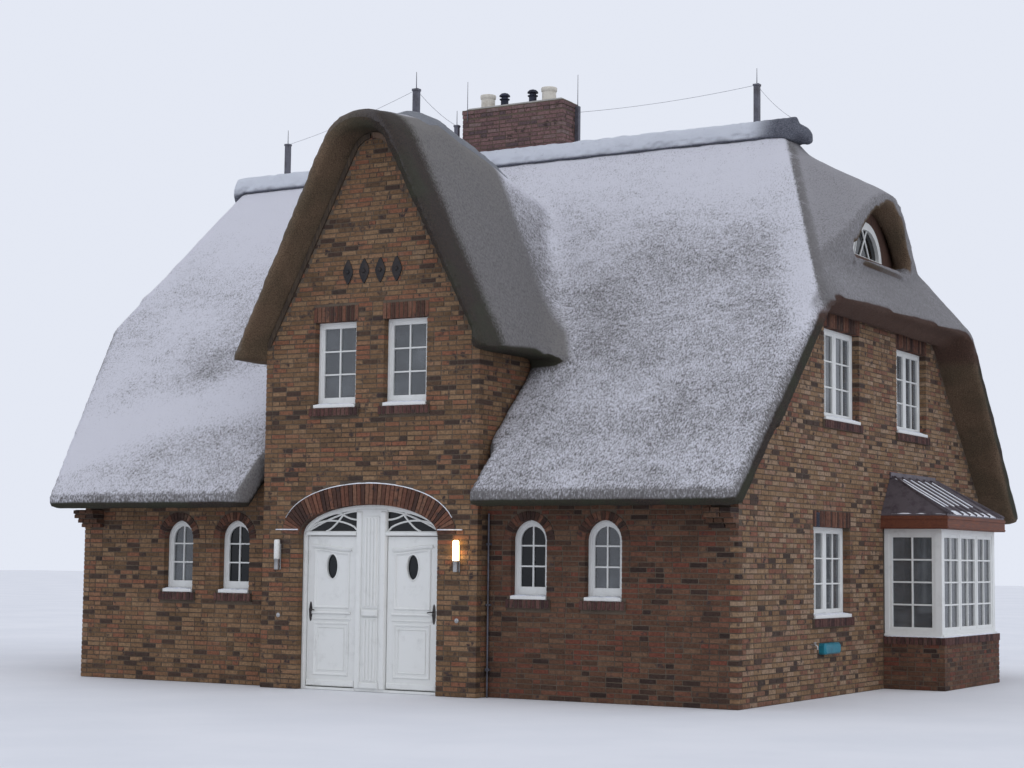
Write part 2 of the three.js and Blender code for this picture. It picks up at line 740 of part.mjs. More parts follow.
function lightningLeft() {
  const zc = RIDGE_Z + CAP.rise;
  const a = [-5390, RIDGE_Y, zc + 475];
  const b = [BAY_C, 800, BAY_RIDGE_Z + 470];
  const c = [CH.x0 - 60, RIDGE_Y - 60, zc + 435];
  let unit = lightningPost(a[0], a[1], zc - 300, a[2] + 20, 200);
  unit = unit.add(lightningPost(b[0], b[1], BAY_RIDGE_Z - 200, b[2] + 20, 280));
  unit = unit.add(lightningPost(c[0], c[1], zc - 300, c[2] + 20, 260));
  unit = unit.add(rodBetween(a, b, 7)).add(rodBetween(b, c, 7));
  unit = unit.subtract(mainCapRaw(RIDGE_X_LEFT - 60, CH.x0, GAP)).subtract(bayCapRaw(GAP));
  return unit.subtract(bayOuter(GAP)).subtract(mainOuter(GAP));
}

function lightningRight() {
  const zc = RIDGE_Z + CAP.rise;
  const a = [3440, RIDGE_Y, zc + 455];
  const yc = (CH.y0 + CH.y1) / 2;
  const b = [CH.x1 + 60, yc, CH.z1 - 90];
  let unit = lightningPost(a[0], a[1], zc - 300, a[2] + 20, 260);
  unit = unit.add(rodBetween(a, b, 7));
  unit = unit.add(box(CH.x1 + 40 + GAP, CH.x1 + 80, yc - 40, yc + 40, CH.z1 - 160, CH.z1 - 20));
  return unit.subtract(mainCapRaw(CH.x0, RIDGE_X_RIGHT + 130, GAP)).subtract(mainOuter(GAP));
}

function wallLamp(side) {
  const x = BAY_C + side * 1470;
  const y = -BAY_OUT;
  const plate = box(x - 35, x + 35, y - 30 - GAP, y - GAP, 1640, 2040);
  const tube = cylinderZ(x, y - 72, 1610, 2070, 48, 48, 20);
  return plate.add(tube);
}

function eyebrowWindow(side) {
  const { line } = browSide(side);
  const x = line.at(BROW.z0) - side * BROW.wallIn;
  const a = Math.min(x, x - side * 60);
  const half = BROW.half - 2 * GAP;
  const wall = prismX(browArch(half, BROW.z0 + 21, BROW.top - GAP, 20), a, a + 60);
  const light = prismX(browArch(480, BROW.z0 + 200, BROW.z0 + 720, 16), a - 10, a + 70);
  const pane = prismX(browArch(490, BROW.z0 + 190, BROW.z0 + 730, 16), a + 24, a + 36);
  return wall.subtract(light).add(pane);
}

function gableWall(side) {
  const x0 = side > 0 ? WALL_HALF - WALL_T : -WALL_HALF;
  let wall = box(x0, x0 + WALL_T, WALL_T + GAP, DEPTH - WALL_T - GAP, 0, 8000);
  for (const w of GABLE_WINDOWS) {
    wall = wall.subtract(box(x0 - 50, x0 + WALL_T + 50, w.x - w.w / 2, w.x + w.w / 2, w.z0, w.z1));
    const out = side > 0 ? x0 + WALL_T : x0;
    wall = wall.add(box(
      Math.min(out - side, out + side * 40), Math.max(out - side, out + side * 40),
      w.x - w.w / 2 - 60, w.x + w.w / 2 + 60, w.z0 - 110, w.z0,
    ));
  }
  if (side > 0) {
    wall = wall.subtract(box(x0 - 50, x0 + WALL_T + 50, CB.y0 + 200, CB.y1 - 200, FLOOR_Z, CB.head - 60));
  }
  return wallTrim(wall).subtract(eyebrowInner(side));
}

function bayPier(side) {
  const a = BAY_C + side * (DOOR_HALF + 0);
  const b = BAY_C + side * BAY_HALF;
  return box(Math.min(a, b), Math.max(a, b), -BAY_OUT, 100, 0, DOOR_SPRING_Z);
}

function bayGableWall() {
  let wall = bayInner(GAP, -BAY_OUT, 100, BAY_HALF).intersect(
    box(-3000, 3000, -BAY_OUT, 100, DOOR_SPRING_Z + GAP, 9000),
  );
  wall = box(BAY_C - BAY_HALF, BAY_C + BAY_HALF, -BAY_OUT, 100, DOOR_SPRING_Z + GAP, 3200).add(wall);
  wall = wall.subtract(
    prismY(ovalOutline(BAY_C, DOOR_HALF, 1000, DOOR_SPRING_Z, DOOR_CROWN_Z, 28), -1000, 1000),
  );
  for (const w of BAY_WINDOWS) {
    wall = wall.subtract(windowHole(w, -1000, 1000));
    wall = wall.add(box(
      w.x - w.w / 2 - 60, w.x + w.w / 2 + 60, -BAY_OUT - 40, -BAY_OUT + 1, w.z0 - 110, w.z0,
    ));
  }
  return wall;
}

function bayCheek(side) {
  const a = BAY_C + side * (BAY_HALF - WALL_T);
  const b = BAY_C + side * BAY_HALF;
  const cheek = box(Math.min(a, b), Math.max(a, b), 100 + GAP, 1700, UPPER_Z1 + GAP, 8000);
  return cheek.intersect(bayInner(GAP, -3000, 5200, BAY_HALF));
}

function doorFrame() {
  const half = DOOR_HALF - GAP;
  const outline = ovalOutline(BAY_C, half, 0, DOOR_SPRING_Z, DOOR_CROWN_Z - GAP, 28);
  let frame = prismY(outline, DOOR_Y, DOOR_Y + 90);
  const inner = ovalOutline(BAY_C, half - DOOR_FRAME, 1000, DOOR_SPRING_Z, DOOR_CROWN_Z - 65, 28);
  const lights = prismY(inner, DOOR_Y - 10, DOOR_Y + 200).subtract(
    box(BAY_C - DOOR_POST_HALF, BAY_C + DOOR_POST_HALF, -1000, 1000, 0, 4000),
  ).subtract(box(-3000, 3000, -1000, 1000, 0, DOOR_HEAD_Z + 60));
  frame = frame.subtract(lights);
  for (const s of [-1, 1]) {
    const a = BAY_C + s * DOOR_POST_HALF;
    const b = BAY_C + s * (half - DOOR_FRAME);
    frame = frame.subtract(box(Math.min(a, b), Math.max(a, b), -1000, 1000, 40, DOOR_HEAD_Z));
  }
  const pane = prismY(
    ovalOutline(BAY_C, half - DOOR_FRAME + 10, 1000, DOOR_SPRING_Z, DOOR_CROWN_Z - 55, 28), DOOR_Y + 40, DOOR_Y + 52,
  ).subtract(box(-3000, 3000, -1000, 1000, 0, DOOR_HEAD_Z + 50));
  return union(frame, pane, hingePins(-1), hingePins(1));
}

// Hinge axis beside the centre post: x and y of the pin.
function hingeAxis(side) {
  return [BAY_C + side * (DOOR_POST_HALF + LEAF_CLEAR / 2), DOOR_Y + 90 + HINGE_OUT];
}

function hingePins(side) {
  const [x, y] = hingeAxis(side);
  const parts = [];
  for (const z of HINGE_Z) {
    parts.push(cylinderZ(x, y, z - 24, z + HINGE_LEN + 24, 4, 4, 12));
    for (const [a, b] of [[z - 24, z - 0.4], [z + HINGE_LEN + 0.4, z + HINGE_LEN + 24]]) {
      parts.push(cylinderZ(x, y, a, b, 9, 9, 16));
      const far = x - side * 55;
      parts.push(box(Math.min(x, far), Math.max(x, far), y - 10.5, y - 4, a, b));
    }
  }
  return union(...parts);
}

function hingeKnuckles(side) {
  const [x, y] = hingeAxis(side);
  const parts = [];
  for (const z of HINGE_Z) {
    const far = x + side * 70;
    const strap = box(Math.min(x, far), Math.max(x, far), y - 10.5, y - 4, z, z + HINGE_LEN);
    const clip = box(x - 5, x + 5, y - 12, y - 9, z - 5, z + HINGE_LEN + 5);
    parts.push(cylinderZ(x, y, z, z + HINGE_LEN, 9, 9, 16).add(strap.subtract(clip)));
  }
  const bores = HINGE_Z.map((z) => cylinderZ(x, y, z - 10, z + HINGE_LEN + 10, 4.4, 4.4, 12));
  return union(...parts).subtract(union(...bores));
}

function doorLeaf(side) {
  const hinge = BAY_C + side * (DOOR_POST_HALF + LEAF_CLEAR);
  const free = BAY_C + side * (DOOR_HALF - GAP - DOOR_FRAME - LEAF_CLEAR);
  const y1 = DOOR_Y + 90;
  let leaf = box(
    Math.min(hinge, free), Math.max(hinge, free), y1 - LEAF_T, y1, 50, DOOR_HEAD_Z - LEAF_CLEAR,
  );
  const hx = BAY_C + side * (DOOR_HALF - DOOR_FRAME - 80);
  const plate = box(hx - 20, hx + 20, y1 - LEAF_T - 8, y1 - LEAF_T + 1, 960, 1180);
  const lever = box(Math.min(hx, hx - side * 110) - 8, Math.max(hx, hx - side * 110) + 8,
    y1 - LEAF_T - 45, y1 - LEAF_T - 30, 1085, 1105);
  const stem = box(hx - 8, hx + 8, y1 - LEAF_T - 45, y1 - LEAF_T, 1085, 1105);
  const ox = (hinge + free) / 2;
  const oval = (a, b, y0, yy) => prismY(
    Array.from({ length: 24 }, (_, i) => [
      ox + a * Math.cos((i * Math.PI) / 12), 1695 + b * Math.sin((i * Math.PI) / 12),
    ]), y0, yy,
  );
  leaf = leaf.subtract(oval(82, 160, y1 - LEAF_T - 10, y1 + 10));
  leaf = leaf.add(oval(88, 166, y1 - LEAF_T / 2 - 5, y1 - LEAF_T / 2 + 5));
  leaf = union(leaf, plate, stem, lever, hingeKnuckles(side));
  return leaf;
}

function build() {
  add("ground_floor", box(
    -WALL_HALF + WALL_T + GAP, WALL_HALF - WALL_T - GAP, WALL_T + GAP, DEPTH - WALL_T - GAP, 0, FLOOR_Z,
  ).add(box(BAY_C - BAY_HALF + 5, BAY_C + BAY_HALF - 5, 100 + GAP, WALL_T + 5, 0, FLOOR_Z))
    .add(box(BAY_C - DOOR_HALF + 5, BAY_C + DOOR_HALF - 5, DOOR_Y + 90 + GAP, 105, 0, FLOOR_Z)), "floor");
  add("upper_floor", box(
    -WALL_HALF + WALL_T + GAP, WALL_HALF - WALL_T - GAP, WALL_T + GAP, DEPTH - WALL_T - GAP, UPPER_Z0, UPPER_Z1,
  ).add(box(BAY_C - BAY_HALF + 5, BAY_C + BAY_HALF - 5, 100 + GAP, WALL_T + 5, UPPER_Z0, UPPER_Z1)), "floor");
  add("front_wall_left", frontWall(-1), "brick");
  add("front_wall_right", frontWall(1), "brick");
  add("rear_wall", rearWall(), "brick");
  add("right_gable_wall", gableWall(1), "brick");
  add("left_gable_wall", gableWall(-1), "brick");
  add("bay_pier_left", bayPier(-1), "brick");
  add("bay_pier_right", bayPier(1), "brick");
  add("bay_gable_wall", bayGableWall(), "brick");
  add("bay_cheek_left", bayCheek(-1), "brick");
  add("bay_cheek_right", bayCheek(1), "brick");
  add("main_thatch", mainThatch(), "thatch");
  add("bay_thatch", bayThatch(), "thatch");
  add("eyebrow_right", eyebrowThatch(1), "thatch");
  add("eyebrow_left", eyebrowThatch(-1), "thatch");
  add("chimney", chimney(), "brick");
  add("door_frame", doorFrame(), "white");
  add("door_leaf_left", doorLeaf(-1), "white");
  add("door_leaf_right", doorLeaf(1), "white");
  for (const w of FRONT_WINDOWS) {
    add(w.name, windowUnit(w, REVEAL, 1), "white");
  }
  for (const w of BAY_WINDOWS) {
    add(w.name, windowUnit(w, -BAY_OUT + REVEAL, 1), "white");
  }
  for (const w of REAR_WINDOWS) {
    add(w.name, windowUnit(w, DEPTH - REVEAL, -1), "white");
  }
  for (const w of GABLE_WINDOWS) {
    add("right_" + w.name, turnToGable(windowUnit(w, REVEAL, 1), 1), "white");
    add("left_" + w.name, turnToGable(windowUnit(w, REVEAL, 1), -1), "white");
  }
  add("box_bay_base", boxBayBase(), "brick");
  add("box_bay_window", boxBayWindow(), "white");
  add("box_bay_fascia", boxBayFascia(), "fascia");
  add("box_bay_roof", boxBayRoof(), "metal");
  add("eyebrow_window_right", eyebrowWindow(1), "white");
  add("eyebrow_window_left", eyebrowWindow(-1), "white");
  add("ridge_cap_left", mainCap(-1), "cap");
  add("ridge_cap_right", mainCap(1), "cap");
  add("bay_ridge_cap", bayCap(), "cap");
  add("chimney_pots", chimneyPots(), "pot");
  add("wall_lamp_left", wallLamp(-1), "white");
  add("wall_lamp_right", wallLamp(1), "white");
  add("lightning_conductor_left", lightningLeft(), "metal");
  add("lightning_conductor_right", lightningRight(), "metal");
}

build();

export default group;
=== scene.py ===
"""Thatched brick house under a dusting of snow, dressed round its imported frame."""

import logging
import random
from dataclasses import dataclass, field
from enum import Enum
from math import asin, atan, ceil, copysign, cos, dist, pi, radians, sin, sqrt, tau
from typing import Callable, Sequence

import bmesh
import bpy
import numpy as np
from mathutils import Matrix, Vector, noise

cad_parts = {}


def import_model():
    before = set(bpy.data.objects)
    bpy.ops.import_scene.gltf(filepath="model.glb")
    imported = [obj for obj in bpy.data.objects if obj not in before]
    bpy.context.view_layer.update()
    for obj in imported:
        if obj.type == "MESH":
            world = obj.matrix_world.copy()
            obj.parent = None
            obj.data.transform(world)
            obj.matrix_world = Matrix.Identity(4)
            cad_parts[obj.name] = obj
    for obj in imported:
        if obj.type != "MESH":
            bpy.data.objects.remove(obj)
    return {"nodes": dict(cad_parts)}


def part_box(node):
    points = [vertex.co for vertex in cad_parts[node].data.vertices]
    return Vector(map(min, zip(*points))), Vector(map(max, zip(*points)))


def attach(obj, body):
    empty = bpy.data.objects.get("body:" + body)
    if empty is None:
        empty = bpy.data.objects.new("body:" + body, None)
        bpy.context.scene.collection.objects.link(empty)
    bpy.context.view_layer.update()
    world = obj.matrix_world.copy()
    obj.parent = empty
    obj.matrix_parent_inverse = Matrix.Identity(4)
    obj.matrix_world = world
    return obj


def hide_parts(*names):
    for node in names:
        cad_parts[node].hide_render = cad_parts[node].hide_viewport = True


LOG = logging.getLogger("house")

Flat = tuple[float, float]
Colour = tuple[float, float, float]
Socket = bpy.types.NodeSocket
Thing = bpy.types.Object
Row = tuple[Sequence[Flat], float]

HOUSE = "house"
GAP = 0.0003
NODES: dict[str, Thing] = {}

# Sizes shared with the frame, in metres.
WALL_HALF = 5.35
DEPTH = 10.0
BAY_C = -0.03
BAY_HALF = 1.76
BAY_OUT = 0.26
REVEAL = 0.1
ROOF_INSIDE = 2.919
DOOR_HALF = 1.145
DOOR_SPRING = 2.13
DOOR_CROWN = 2.545
DOOR_FACE = -0.15
DOOR_HEAD = 2.12
DOOR_FRAME = 0.065
POST_HALF = 0.25
HIP_LEAN = 0.5795
HIP_EDGE = 8.868
BOX_Y0 = 5.3
BOX_Y1 = 7.92
BOX_OUT = 0.88
BOX_SILL = 0.76
BOX_HEAD = 2.33
BOX_FASCIA = 2.52
BOX_TOP = 3.1

COURSE = 0.0667
BRICK_TALL = 0.0545
BRICK_LONG = 0.228
BRICK_HEAD = 0.108
JOINT = 0.012
PROUD = 0.006
SEAT = 0.004
ARRIS = 0.0022
BED = 0.006
SHORTEST = 0.06
LONGEST = 0.26
GABLE_SLOPE = 1.9


class NodeSketch:
    """Lays out and wires the nodes of one material."""

    def __init__(self, name: str) -> None:
        """Start an empty principled material.

        Args:
            name: Name of the material.
        """
        self.material = bpy.data.materials.new(name)
        self.material.use_nodes = True
        self.tree = self.material.node_tree
        self.shader = self.tree.nodes["Principled BSDF"]

    def node(self, kind: str, **inputs: object) -> bpy.types.Node:
        """Add a node and fill its inputs.

        Args:
            kind: Type name of the node.
            **inputs: Values or sockets by input name, with _ for a space.

        Returns:
            The new node.
        """
        made = self.tree.nodes.new(kind)
        for key, value in inputs.items():
            self.put(made.inputs[key.replace("_", " ")], value)
        return made

    def put(self, target: Socket, value: object) -> None:
        """Give an input a socket or a value."""
        if isinstance(value, bpy.types.NodeSocket):
            self.tree.links.new(value, target)
        else:
            target.default_value = value

    def place(self, stretch: Sequence[float] = (1.0, 1.0, 1.0)) -> Socket:
        """Object coordinates in metres, stretched on each axis."""
        where = self.tree.nodes.new("ShaderNodeTexCoord").outputs["Object"]
        if tuple(stretch) == (1.0, 1.0, 1.0):
            return where
        return self.node("ShaderNodeMapping", Vector=where, Scale=tuple(stretch)).outputs["Vector"]

    def noise(
        self, scale: float, detail: float = 4.0, rough: float = 0.55,
        stretch: Sequence[float] = (1.0, 1.0, 1.0),
    ) -> Socket:
        """Cloudy noise over the piece.

        Args:
            scale: Cells per metre.
            detail: Octaves.
            rough: Share of the finer octaves.
            stretch: Factor for x, y and z.

        Returns:
            The grey socket.
        """
        made = self.node(
            "ShaderNodeTexNoise", Vector=self.place(stretch), Scale=scale,
            Detail=detail, Roughness=rough,
        )
        return made.outputs["Fac"]

    def ramp(self, grey: Socket, stops: Sequence[tuple[float, Colour]]) -> Socket:
        """Turn a grey value into colours.

        Args:
            grey: The value to read.
            stops: Positions and colours from low to high.

        Returns:
            The colour socket.
        """
        made = self.tree.nodes.new("ShaderNodeValToRGB")
        self.tree.links.new(grey, made.inputs["Fac"])
        bar = made.color_ramp.elements
        while len(bar) < len(stops):
            bar.new(1.0)
        for mark, (position, colour) in zip(bar, stops):
            mark.position = position
            mark.color = (*colour, 1.0)
        return made.outputs["Color"]

    def shade(self, grey: Socket, *stops: Flat) -> Socket:
        """Turn a grey value into others, by pairs of position and value."""
        return self.ramp(grey, [(position, (value,) * 3) for position, value in stops])

    def step(self, grey: Socket, low: float, high: float) -> Socket:
        """Stretch a grey value so that low becomes 0 and high becomes 1."""
        if low > high:
            return self.rest(self.step(grey, high, low))
        made = self.node("ShaderNodeMapRange", Value=grey)
        made.interpolation_type = "SMOOTHSTEP"
        made.inputs["From Min"].default_value = low
        made.inputs["From Max"].default_value = high
        return made.outputs["Result"]

    def mix(self, share: object, first: object, second: object, kind: str = "MIX") -> Socket:
        """Blend two colours.

        Args:
            share: How much of the second.
            first: Colour or socket.
            second: Colour or socket.
            kind: MIX or MULTIPLY.

        Returns:
            The colour socket.
        """
        made = self.tree.nodes.new("ShaderNodeMix")
        made.data_type = "RGBA"
        made.blend_type = kind
        for index, value in ((0, share), (6, first), (7, second)):
            if isinstance(value, tuple):
                value = (*value, 1.0)
            self.put(made.inputs[index], value)
        return made.outputs[2]

    def reckon(self, kind: str, parts: Sequence[object]) -> Socket:
        """Join grey values one after the other with one kind of sum.

        Args:
            kind: ADD, MULTIPLY, MAXIMUM and so on.
            parts: Values or sockets.

        Returns:
            The grey socket.
        """
        whole = parts[0]
        for part in parts[1:]:
            made = self.tree.nodes.new("ShaderNodeMath")
            made.operation = kind
            self.put(made.inputs[0], whole)
            self.put(made.inputs[1], part)
            whole = made.outputs[0]
        return whole

    def plus(self, *parts: object) -> Socket:
        """Sum of several values."""
        return self.reckon("ADD", parts)

    def minus(self, *parts: object) -> Socket:
        """The first value less the others."""
        return self.reckon("SUBTRACT", parts)

    def both(self, *parts: object) -> Socket:
        """Product of several values or masks."""
        return self.reckon("MULTIPLY", parts)

    def most(self, *parts: object) -> Socket:
        """The greatest of several values."""
        return self.reckon("MAXIMUM", parts)

    def size(self, part: Socket) -> Socket:
        """A value without its sign."""
        return self.reckon("ABSOLUTE", (part, 0.0))

    def rest(self, part: Socket) -> Socket:
        """What a mask leaves."""
        return self.minus(1.0, part)

    def facing(self, axis: str) -> Socket:
        """One axis of the surface normal, X, Y or Z."""
        normal = self.tree.nodes.new("ShaderNodeNewGeometry").outputs["Normal"]
        return self.node("ShaderNodeSeparateXYZ", Vector=normal).outputs[axis]

    def spot(self, axis: str) -> Socket:
        """Place along one axis, in metres."""
        return self.node("ShaderNodeSeparateXYZ", Vector=self.place()).outputs[axis]

    def along(self, axis: str, start: float, stop: float) -> Socket:
        """Share of the way from start to stop along an axis, in metres."""
        return self.step(self.spot(axis), start, stop)

    def attribute(self, name: str) -> Socket:
        """A value stored on the mesh."""
        made = self.tree.nodes.new("ShaderNodeAttribute")
        made.attribute_name = name
        return made.outputs["Fac"]

    def bump(self, height: Socket, depth: float, strength: float = 1.0) -> None:
        """Raise the surface by a grey value.

        Args:
            height: The grey value.
            depth: Height in metres.
            strength: Share of the full effect.
        """
        made = self.node("ShaderNodeBump", Height=height, Strength=strength, Distance=depth)
        self.put(self.shader.inputs["Normal"], made.outputs["Normal"])

    def finish(
        self, colour: object, roughness: object, metal: float = 0.0,
        specular: float = 0.4,
    ) -> bpy.types.Material:
        """Set the shader's own sockets and hand the material over.

        Args:
            colour: Colour or socket.
            roughness: Value or socket.
            metal: Metallic share.
            specular: Specular level.

        Returns:
            The finished material.
        """
        if isinstance(colour, tuple):
            colour = (*colour, 1.0)
        self.put(self.shader.inputs["Base Color"], colour)
        self.put(self.shader.inputs["Roughness"], roughness)
        self.shader.inputs["Metallic"].default_value = metal
        self.shader.inputs["Specular IOR Level"].default_value = specular
        return self.material


@dataclass(frozen=True)
class BrickFinish:
    """Hand-moulded bricks whose shade follows the tone stored on each brick."""

    name: str
    shades: tuple[tuple[float, Colour], ...]
    frost: float = 0.12

    def make(self) -> bpy.types.Material:
        """Build the material."""
        s = NodeSketch(self.name)
        body = s.ramp(s.attribute("tone"), self.shades)
        cloud = s.ramp(s.noise(26, 5, 0.65), [(0.3, (0.62, 0.6, 0.6)), (0.7, (1.3, 1.28, 1.25))])
        tint = s.mix(1.0, body, cloud, "MULTIPLY")
        burnt = s.mix(s.step(s.noise(9, 3, 0.6), 0.56, 0.72), tint, (0.05, 0.034, 0.032))
        bloom = s.step(s.noise(3.1, 6, 0.7), 0.56, 0.8)
        colour = s.mix(s.both(bloom, self.frost * 4), burnt, (0.23, 0.175, 0.13))
        grain = s.noise(190, 6, 0.7)
        s.bump(s.plus(grain, s.both(s.noise(42, 3), 1.5)), 0.0032)
        return s.finish(colour, s.shade(grain, (0.2, 0.78), (0.8, 0.95)), specular=0.25)


@dataclass(frozen=True)
class MortarFinish:
    """Sandy joint mortar, damp in places."""

    name: str = "sandy mortar"
    light: Colour = (0.115, 0.086, 0.063)
    damp: Colour = (0.062, 0.044, 0.034)

    def make(self) -> bpy.types.Material:
        """Build the material."""
        s = NodeSketch(self.name)
        patch = s.step(s.noise(1.7, 5, 0.6), 0.4, 0.68)
        sand = s.noise(320, 4, 0.7)
        base = s.mix(patch, self.light, self.damp)
        colour = s.mix(s.step(sand, 0.45, 0.75), base, (0.24, 0.20, 0.155))
        s.bump(sand, 0.002)
        return s.finish(colour, 0.95, specular=0.2)


@dataclass(frozen=True)
class ThatchFinish:
    """Weathered reed that carries snow where it lies flatter and shows its ends below, with painted shade on
    east-facing slopes and in the hip crease, and a painted highlight beside the hip edge.
    """

    name: str = "snow-dusted reed"
    snow: Colour = (0.74, 0.735, 0.79)
    # Painted shade: the shaded snow colours go on east-facing faces, the half hips and the bay's east-facing
    # slope.
    shaded_snow: Colour = (0.34, 0.33, 0.345)
    bay_shaded_snow: Colour = (0.205, 0.192, 0.176)
    grey: Colour = (0.26, 0.25, 0.25)
    dark: Colour = (0.145, 0.137, 0.136)
    moss: Colour = (0.045, 0.048, 0.030)
    ends: Colour = (0.027, 0.023, 0.022)
    brown: Colour = (0.235, 0.16, 0.102)
    umber: Colour = (0.108, 0.072, 0.048)
    foot_dark: Colour = (0.065, 0.036, 0.029)
    foot_light: Colour = (0.12, 0.067, 0.05)

    def make(self) -> bpy.types.Material:
        """Build the material."""
        s = NodeSketch(self.name)
        up, east = s.facing("Z"), s.facing("X")
        turned = s.step(s.size(east), 0.35, 0.6)
        along_x = s.noise(26, 3, 0.75, (2.2, 1.0, 1.0))
        along_y = s.noise(26, 3, 0.75, (1.0, 2.2, 1.0))
        fine = s.plus(s.both(along_y, turned), s.both(along_x, s.rest(turned)))
        clump = s.noise(7, 4, 0.65)
        across = s.plus(s.spot("X"), s.both(s.spot("Z"), HIP_LEAN))
        hip = s.both(s.step(across, HIP_EDGE - 0.085, HIP_EDGE - 0.03), s.along("Z", 5.1, 5.35))
        verge = s.both(s.along("X", 4.9, 5.1), s.along("Z", 5.35, 5.1))
        bare = self.bare(s, up, east, fine, verge)
        top = self.weather(s, (up, east, fine, clump), across, hip, verge)
        under = self.underside(s, up, s.step(s.noise(70, 4, 0.75), 0.4, 0.62))
        relief = s.plus(s.both(fine, 1.2), s.both(s.noise(110, 3, 0.7), 0.5), s.both(clump, 0.8))
        s.bump(relief, 0.024, 0.9)
        return s.finish(s.mix(bare, top, under), 0.92, specular=0.2)

    def weather(
        self, s: NodeSketch, surface: Sequence[Socket], across: Socket, hip: Socket, verge: Socket,
    ) -> Socket:
        """Weathered reed with the snow that lies on it, painted shade on east-facing faces and in the hip
        crease, and a painted highlight beside the hip edge.

        Args:
            s: The sketch.
            surface: Upward facing, eastward facing, fine and clumped noise.
            across: Distance across the right half hip.
            hip: Mask of the half hips.
            verge: Mask of the right verge.

        Returns:
            The colour socket.
        """
        up, east, fine, clump = surface
        base = s.mix(s.step(fine, 0.36, 0.62), self.dark, self.grey)
        # Painted shade: a dark line with less snow along the crease at the right hip edge, which the smoothed
        # skin no longer shows.
        crease_shade = s.both(
            s.step(across, HIP_EDGE - 0.13, HIP_EDGE - 0.07),
            s.step(across, HIP_EDGE + 0.02, HIP_EDGE - 0.05),
            s.along("Z", 5.1, 5.35), s.along("Y", 5.2, 4.7), s.step(s.noise(5, 4, 0.6), 0.2, 0.5),
        )
        # Painted highlight: extra snow on the main slope just inside the right hip edge.
        painted_light = s.both(
            s.step(across, HIP_EDGE - 0.8, HIP_EDGE - 0.25), s.step(across, HIP_EDGE - 0.1, HIP_EDGE - 0.16),
            s.along("Z", 7.2, 6.0),
        )
        behind = s.step(s.minus(s.spot("Y"), s.both(s.spot("Z"), 0.25)), 0.55, 0.2)
        # Painted shade: east-facing faces, the half hips and the front of the bay's east-facing slope take
        # the darker shaded snow colours.
        east_shade = s.step(east, 0.2, 0.55)
        bay = s.both(east_shade, s.along("X", 4.2, 3.9), behind)
        shade_side = s.most(s.both(east_shade, s.rest(verge), s.along("X", 3.9, 4.2)), hip)
        line = s.minus(s.spot("Z"), s.both(s.spot("X"), 0.29), 5.15)
        blown = s.both(s.step(s.size(line), 0.75, 0.1), s.along("X", -1.5, -1.9), s.along("Y", 4.0, 3.0))
        level = s.plus(fine, s.both(s.minus(clump, 0.5), 0.22))
        for part, share in (
            (s.minus(s.noise(0.6, 4, 0.6), 0.5), 0.34), (s.step(up, 0.3, 0.85), 0.2),
            (s.along("Z", 5.8, 8.0), 0.17), (s.along("X", -3.5, -5.5), 0.08), (s.along("X", 1.5, -2.5), 0.03),
            (painted_light, 0.14), (crease_shade, -0.3), (blown, 0.17),
        ):
            level = s.plus(level, s.both(part, share))
        cover = s.both(s.step(level, 0.5, 0.82), s.rest(s.both(hip, 0.45)))
        cover = s.plus(cover, s.both(hip, 0.2))
        white = s.mix(s.both(shade_side, 0.92), self.snow, self.shaded_snow)
        white = s.mix(s.both(bay, 0.95), white, self.bay_shaded_snow)
        return s.mix(s.both(crease_shade, 0.5), s.mix(cover, base, white), self.dark)

    def underside(self, s: NodeSketch, up: Socket, tips: Socket) -> Socket:
        """Cut reed ends and soffits, with moss.

        Args:
            s: The sketch.
            up: Upward facing.
            tips: Mask of the single reed ends.

        Returns:
            The colour socket.
        """
        green = s.both(s.step(s.noise(1.4, 5, 0.6), 0.4, 0.62), 0.7)
        cut = s.mix(green, s.mix(tips, self.ends, s.mix(0.5, self.ends, self.umber)), self.moss)
        soffit = s.mix(s.both(green, 0.5), s.mix(tips, self.umber, self.brown), self.moss)
        brown = s.both(s.along("Y", 0.3, 0.0), s.along("Z", 4.1, 4.4), s.along("X", 0.35, -0.7))
        brown = s.most(brown, s.both(s.step(up, -0.15, -0.5), s.along("Y", 1.0, 6.0)))
        under = s.mix(brown, cut, soffit)
        foot = s.both(s.along("X", 5.1, 5.3), s.along("Z", 4.9, 5.1), s.along("Z", 6.15, 6.05))
        under = s.mix(s.both(foot, 0.85), under, s.mix(tips, self.foot_dark, self.foot_light))
        return s.mix(s.both(self.brow(s), s.along("Z", 6.1, 6.2)), under, soffit)

    def brow(self, s: NodeSketch) -> Socket:
        """Mask of the eyebrows over the half hips."""
        return s.both(s.step(s.size(s.spot("X")), 4.3, 4.6), s.along("Z", 5.65, 5.85))

    def bare(self, s: NodeSketch, up: Socket, east: Socket, fine: Socket, verge: Socket) -> Socket:
        """Mask of the faces that no snow reaches.

        Args:
            s: The sketch.
            up: Upward facing.
            east: Eastward facing.
            fine: Fine noise.
            verge: Mask of the right verge.

        Returns:
            The grey socket.
        """
        depth = s.minus(8.4, s.plus(s.spot("Z"), s.size(s.minus(s.spot("Y"), 5.0))))
        edge = s.plus(s.spot("Y"), s.both(s.minus(fine, 0.5), 0.5))
        rim = s.both(s.step(edge, -0.02, -0.3), s.along("Z", 4.1, 4.4))
        ends = s.both(verge, s.step(east, 0.45, 0.65), s.step(depth, 0.13, 0.22))
        low = s.along("Z", 3.9, 3.6)
        bare = s.plus(s.both(low, s.step(up, -0.1, -0.42)), s.both(s.rest(low), s.step(up, 0.3, 0.02)))
        bare = s.most(bare, s.both(rim, 0.93))
        bare = s.plus(s.both(bare, s.rest(verge)), s.both(verge, s.most(ends, s.step(up, -0.1, -0.4))))
        inside = s.both(s.along("Y", 4.7, 5.0), s.step(s.facing("Y"), -0.1, -0.4), s.step(up, 0.35, 0.1))
        inside = s.both(s.most(inside, s.step(up, -0.1, -0.45)), s.along("Z", 6.1, 6.2))
        inside = s.most(inside, s.step(up, -0.25, -0.5))
        brow = self.brow(s)
        return s.plus(s.both(bare, s.rest(brow)), s.both(brow, inside))


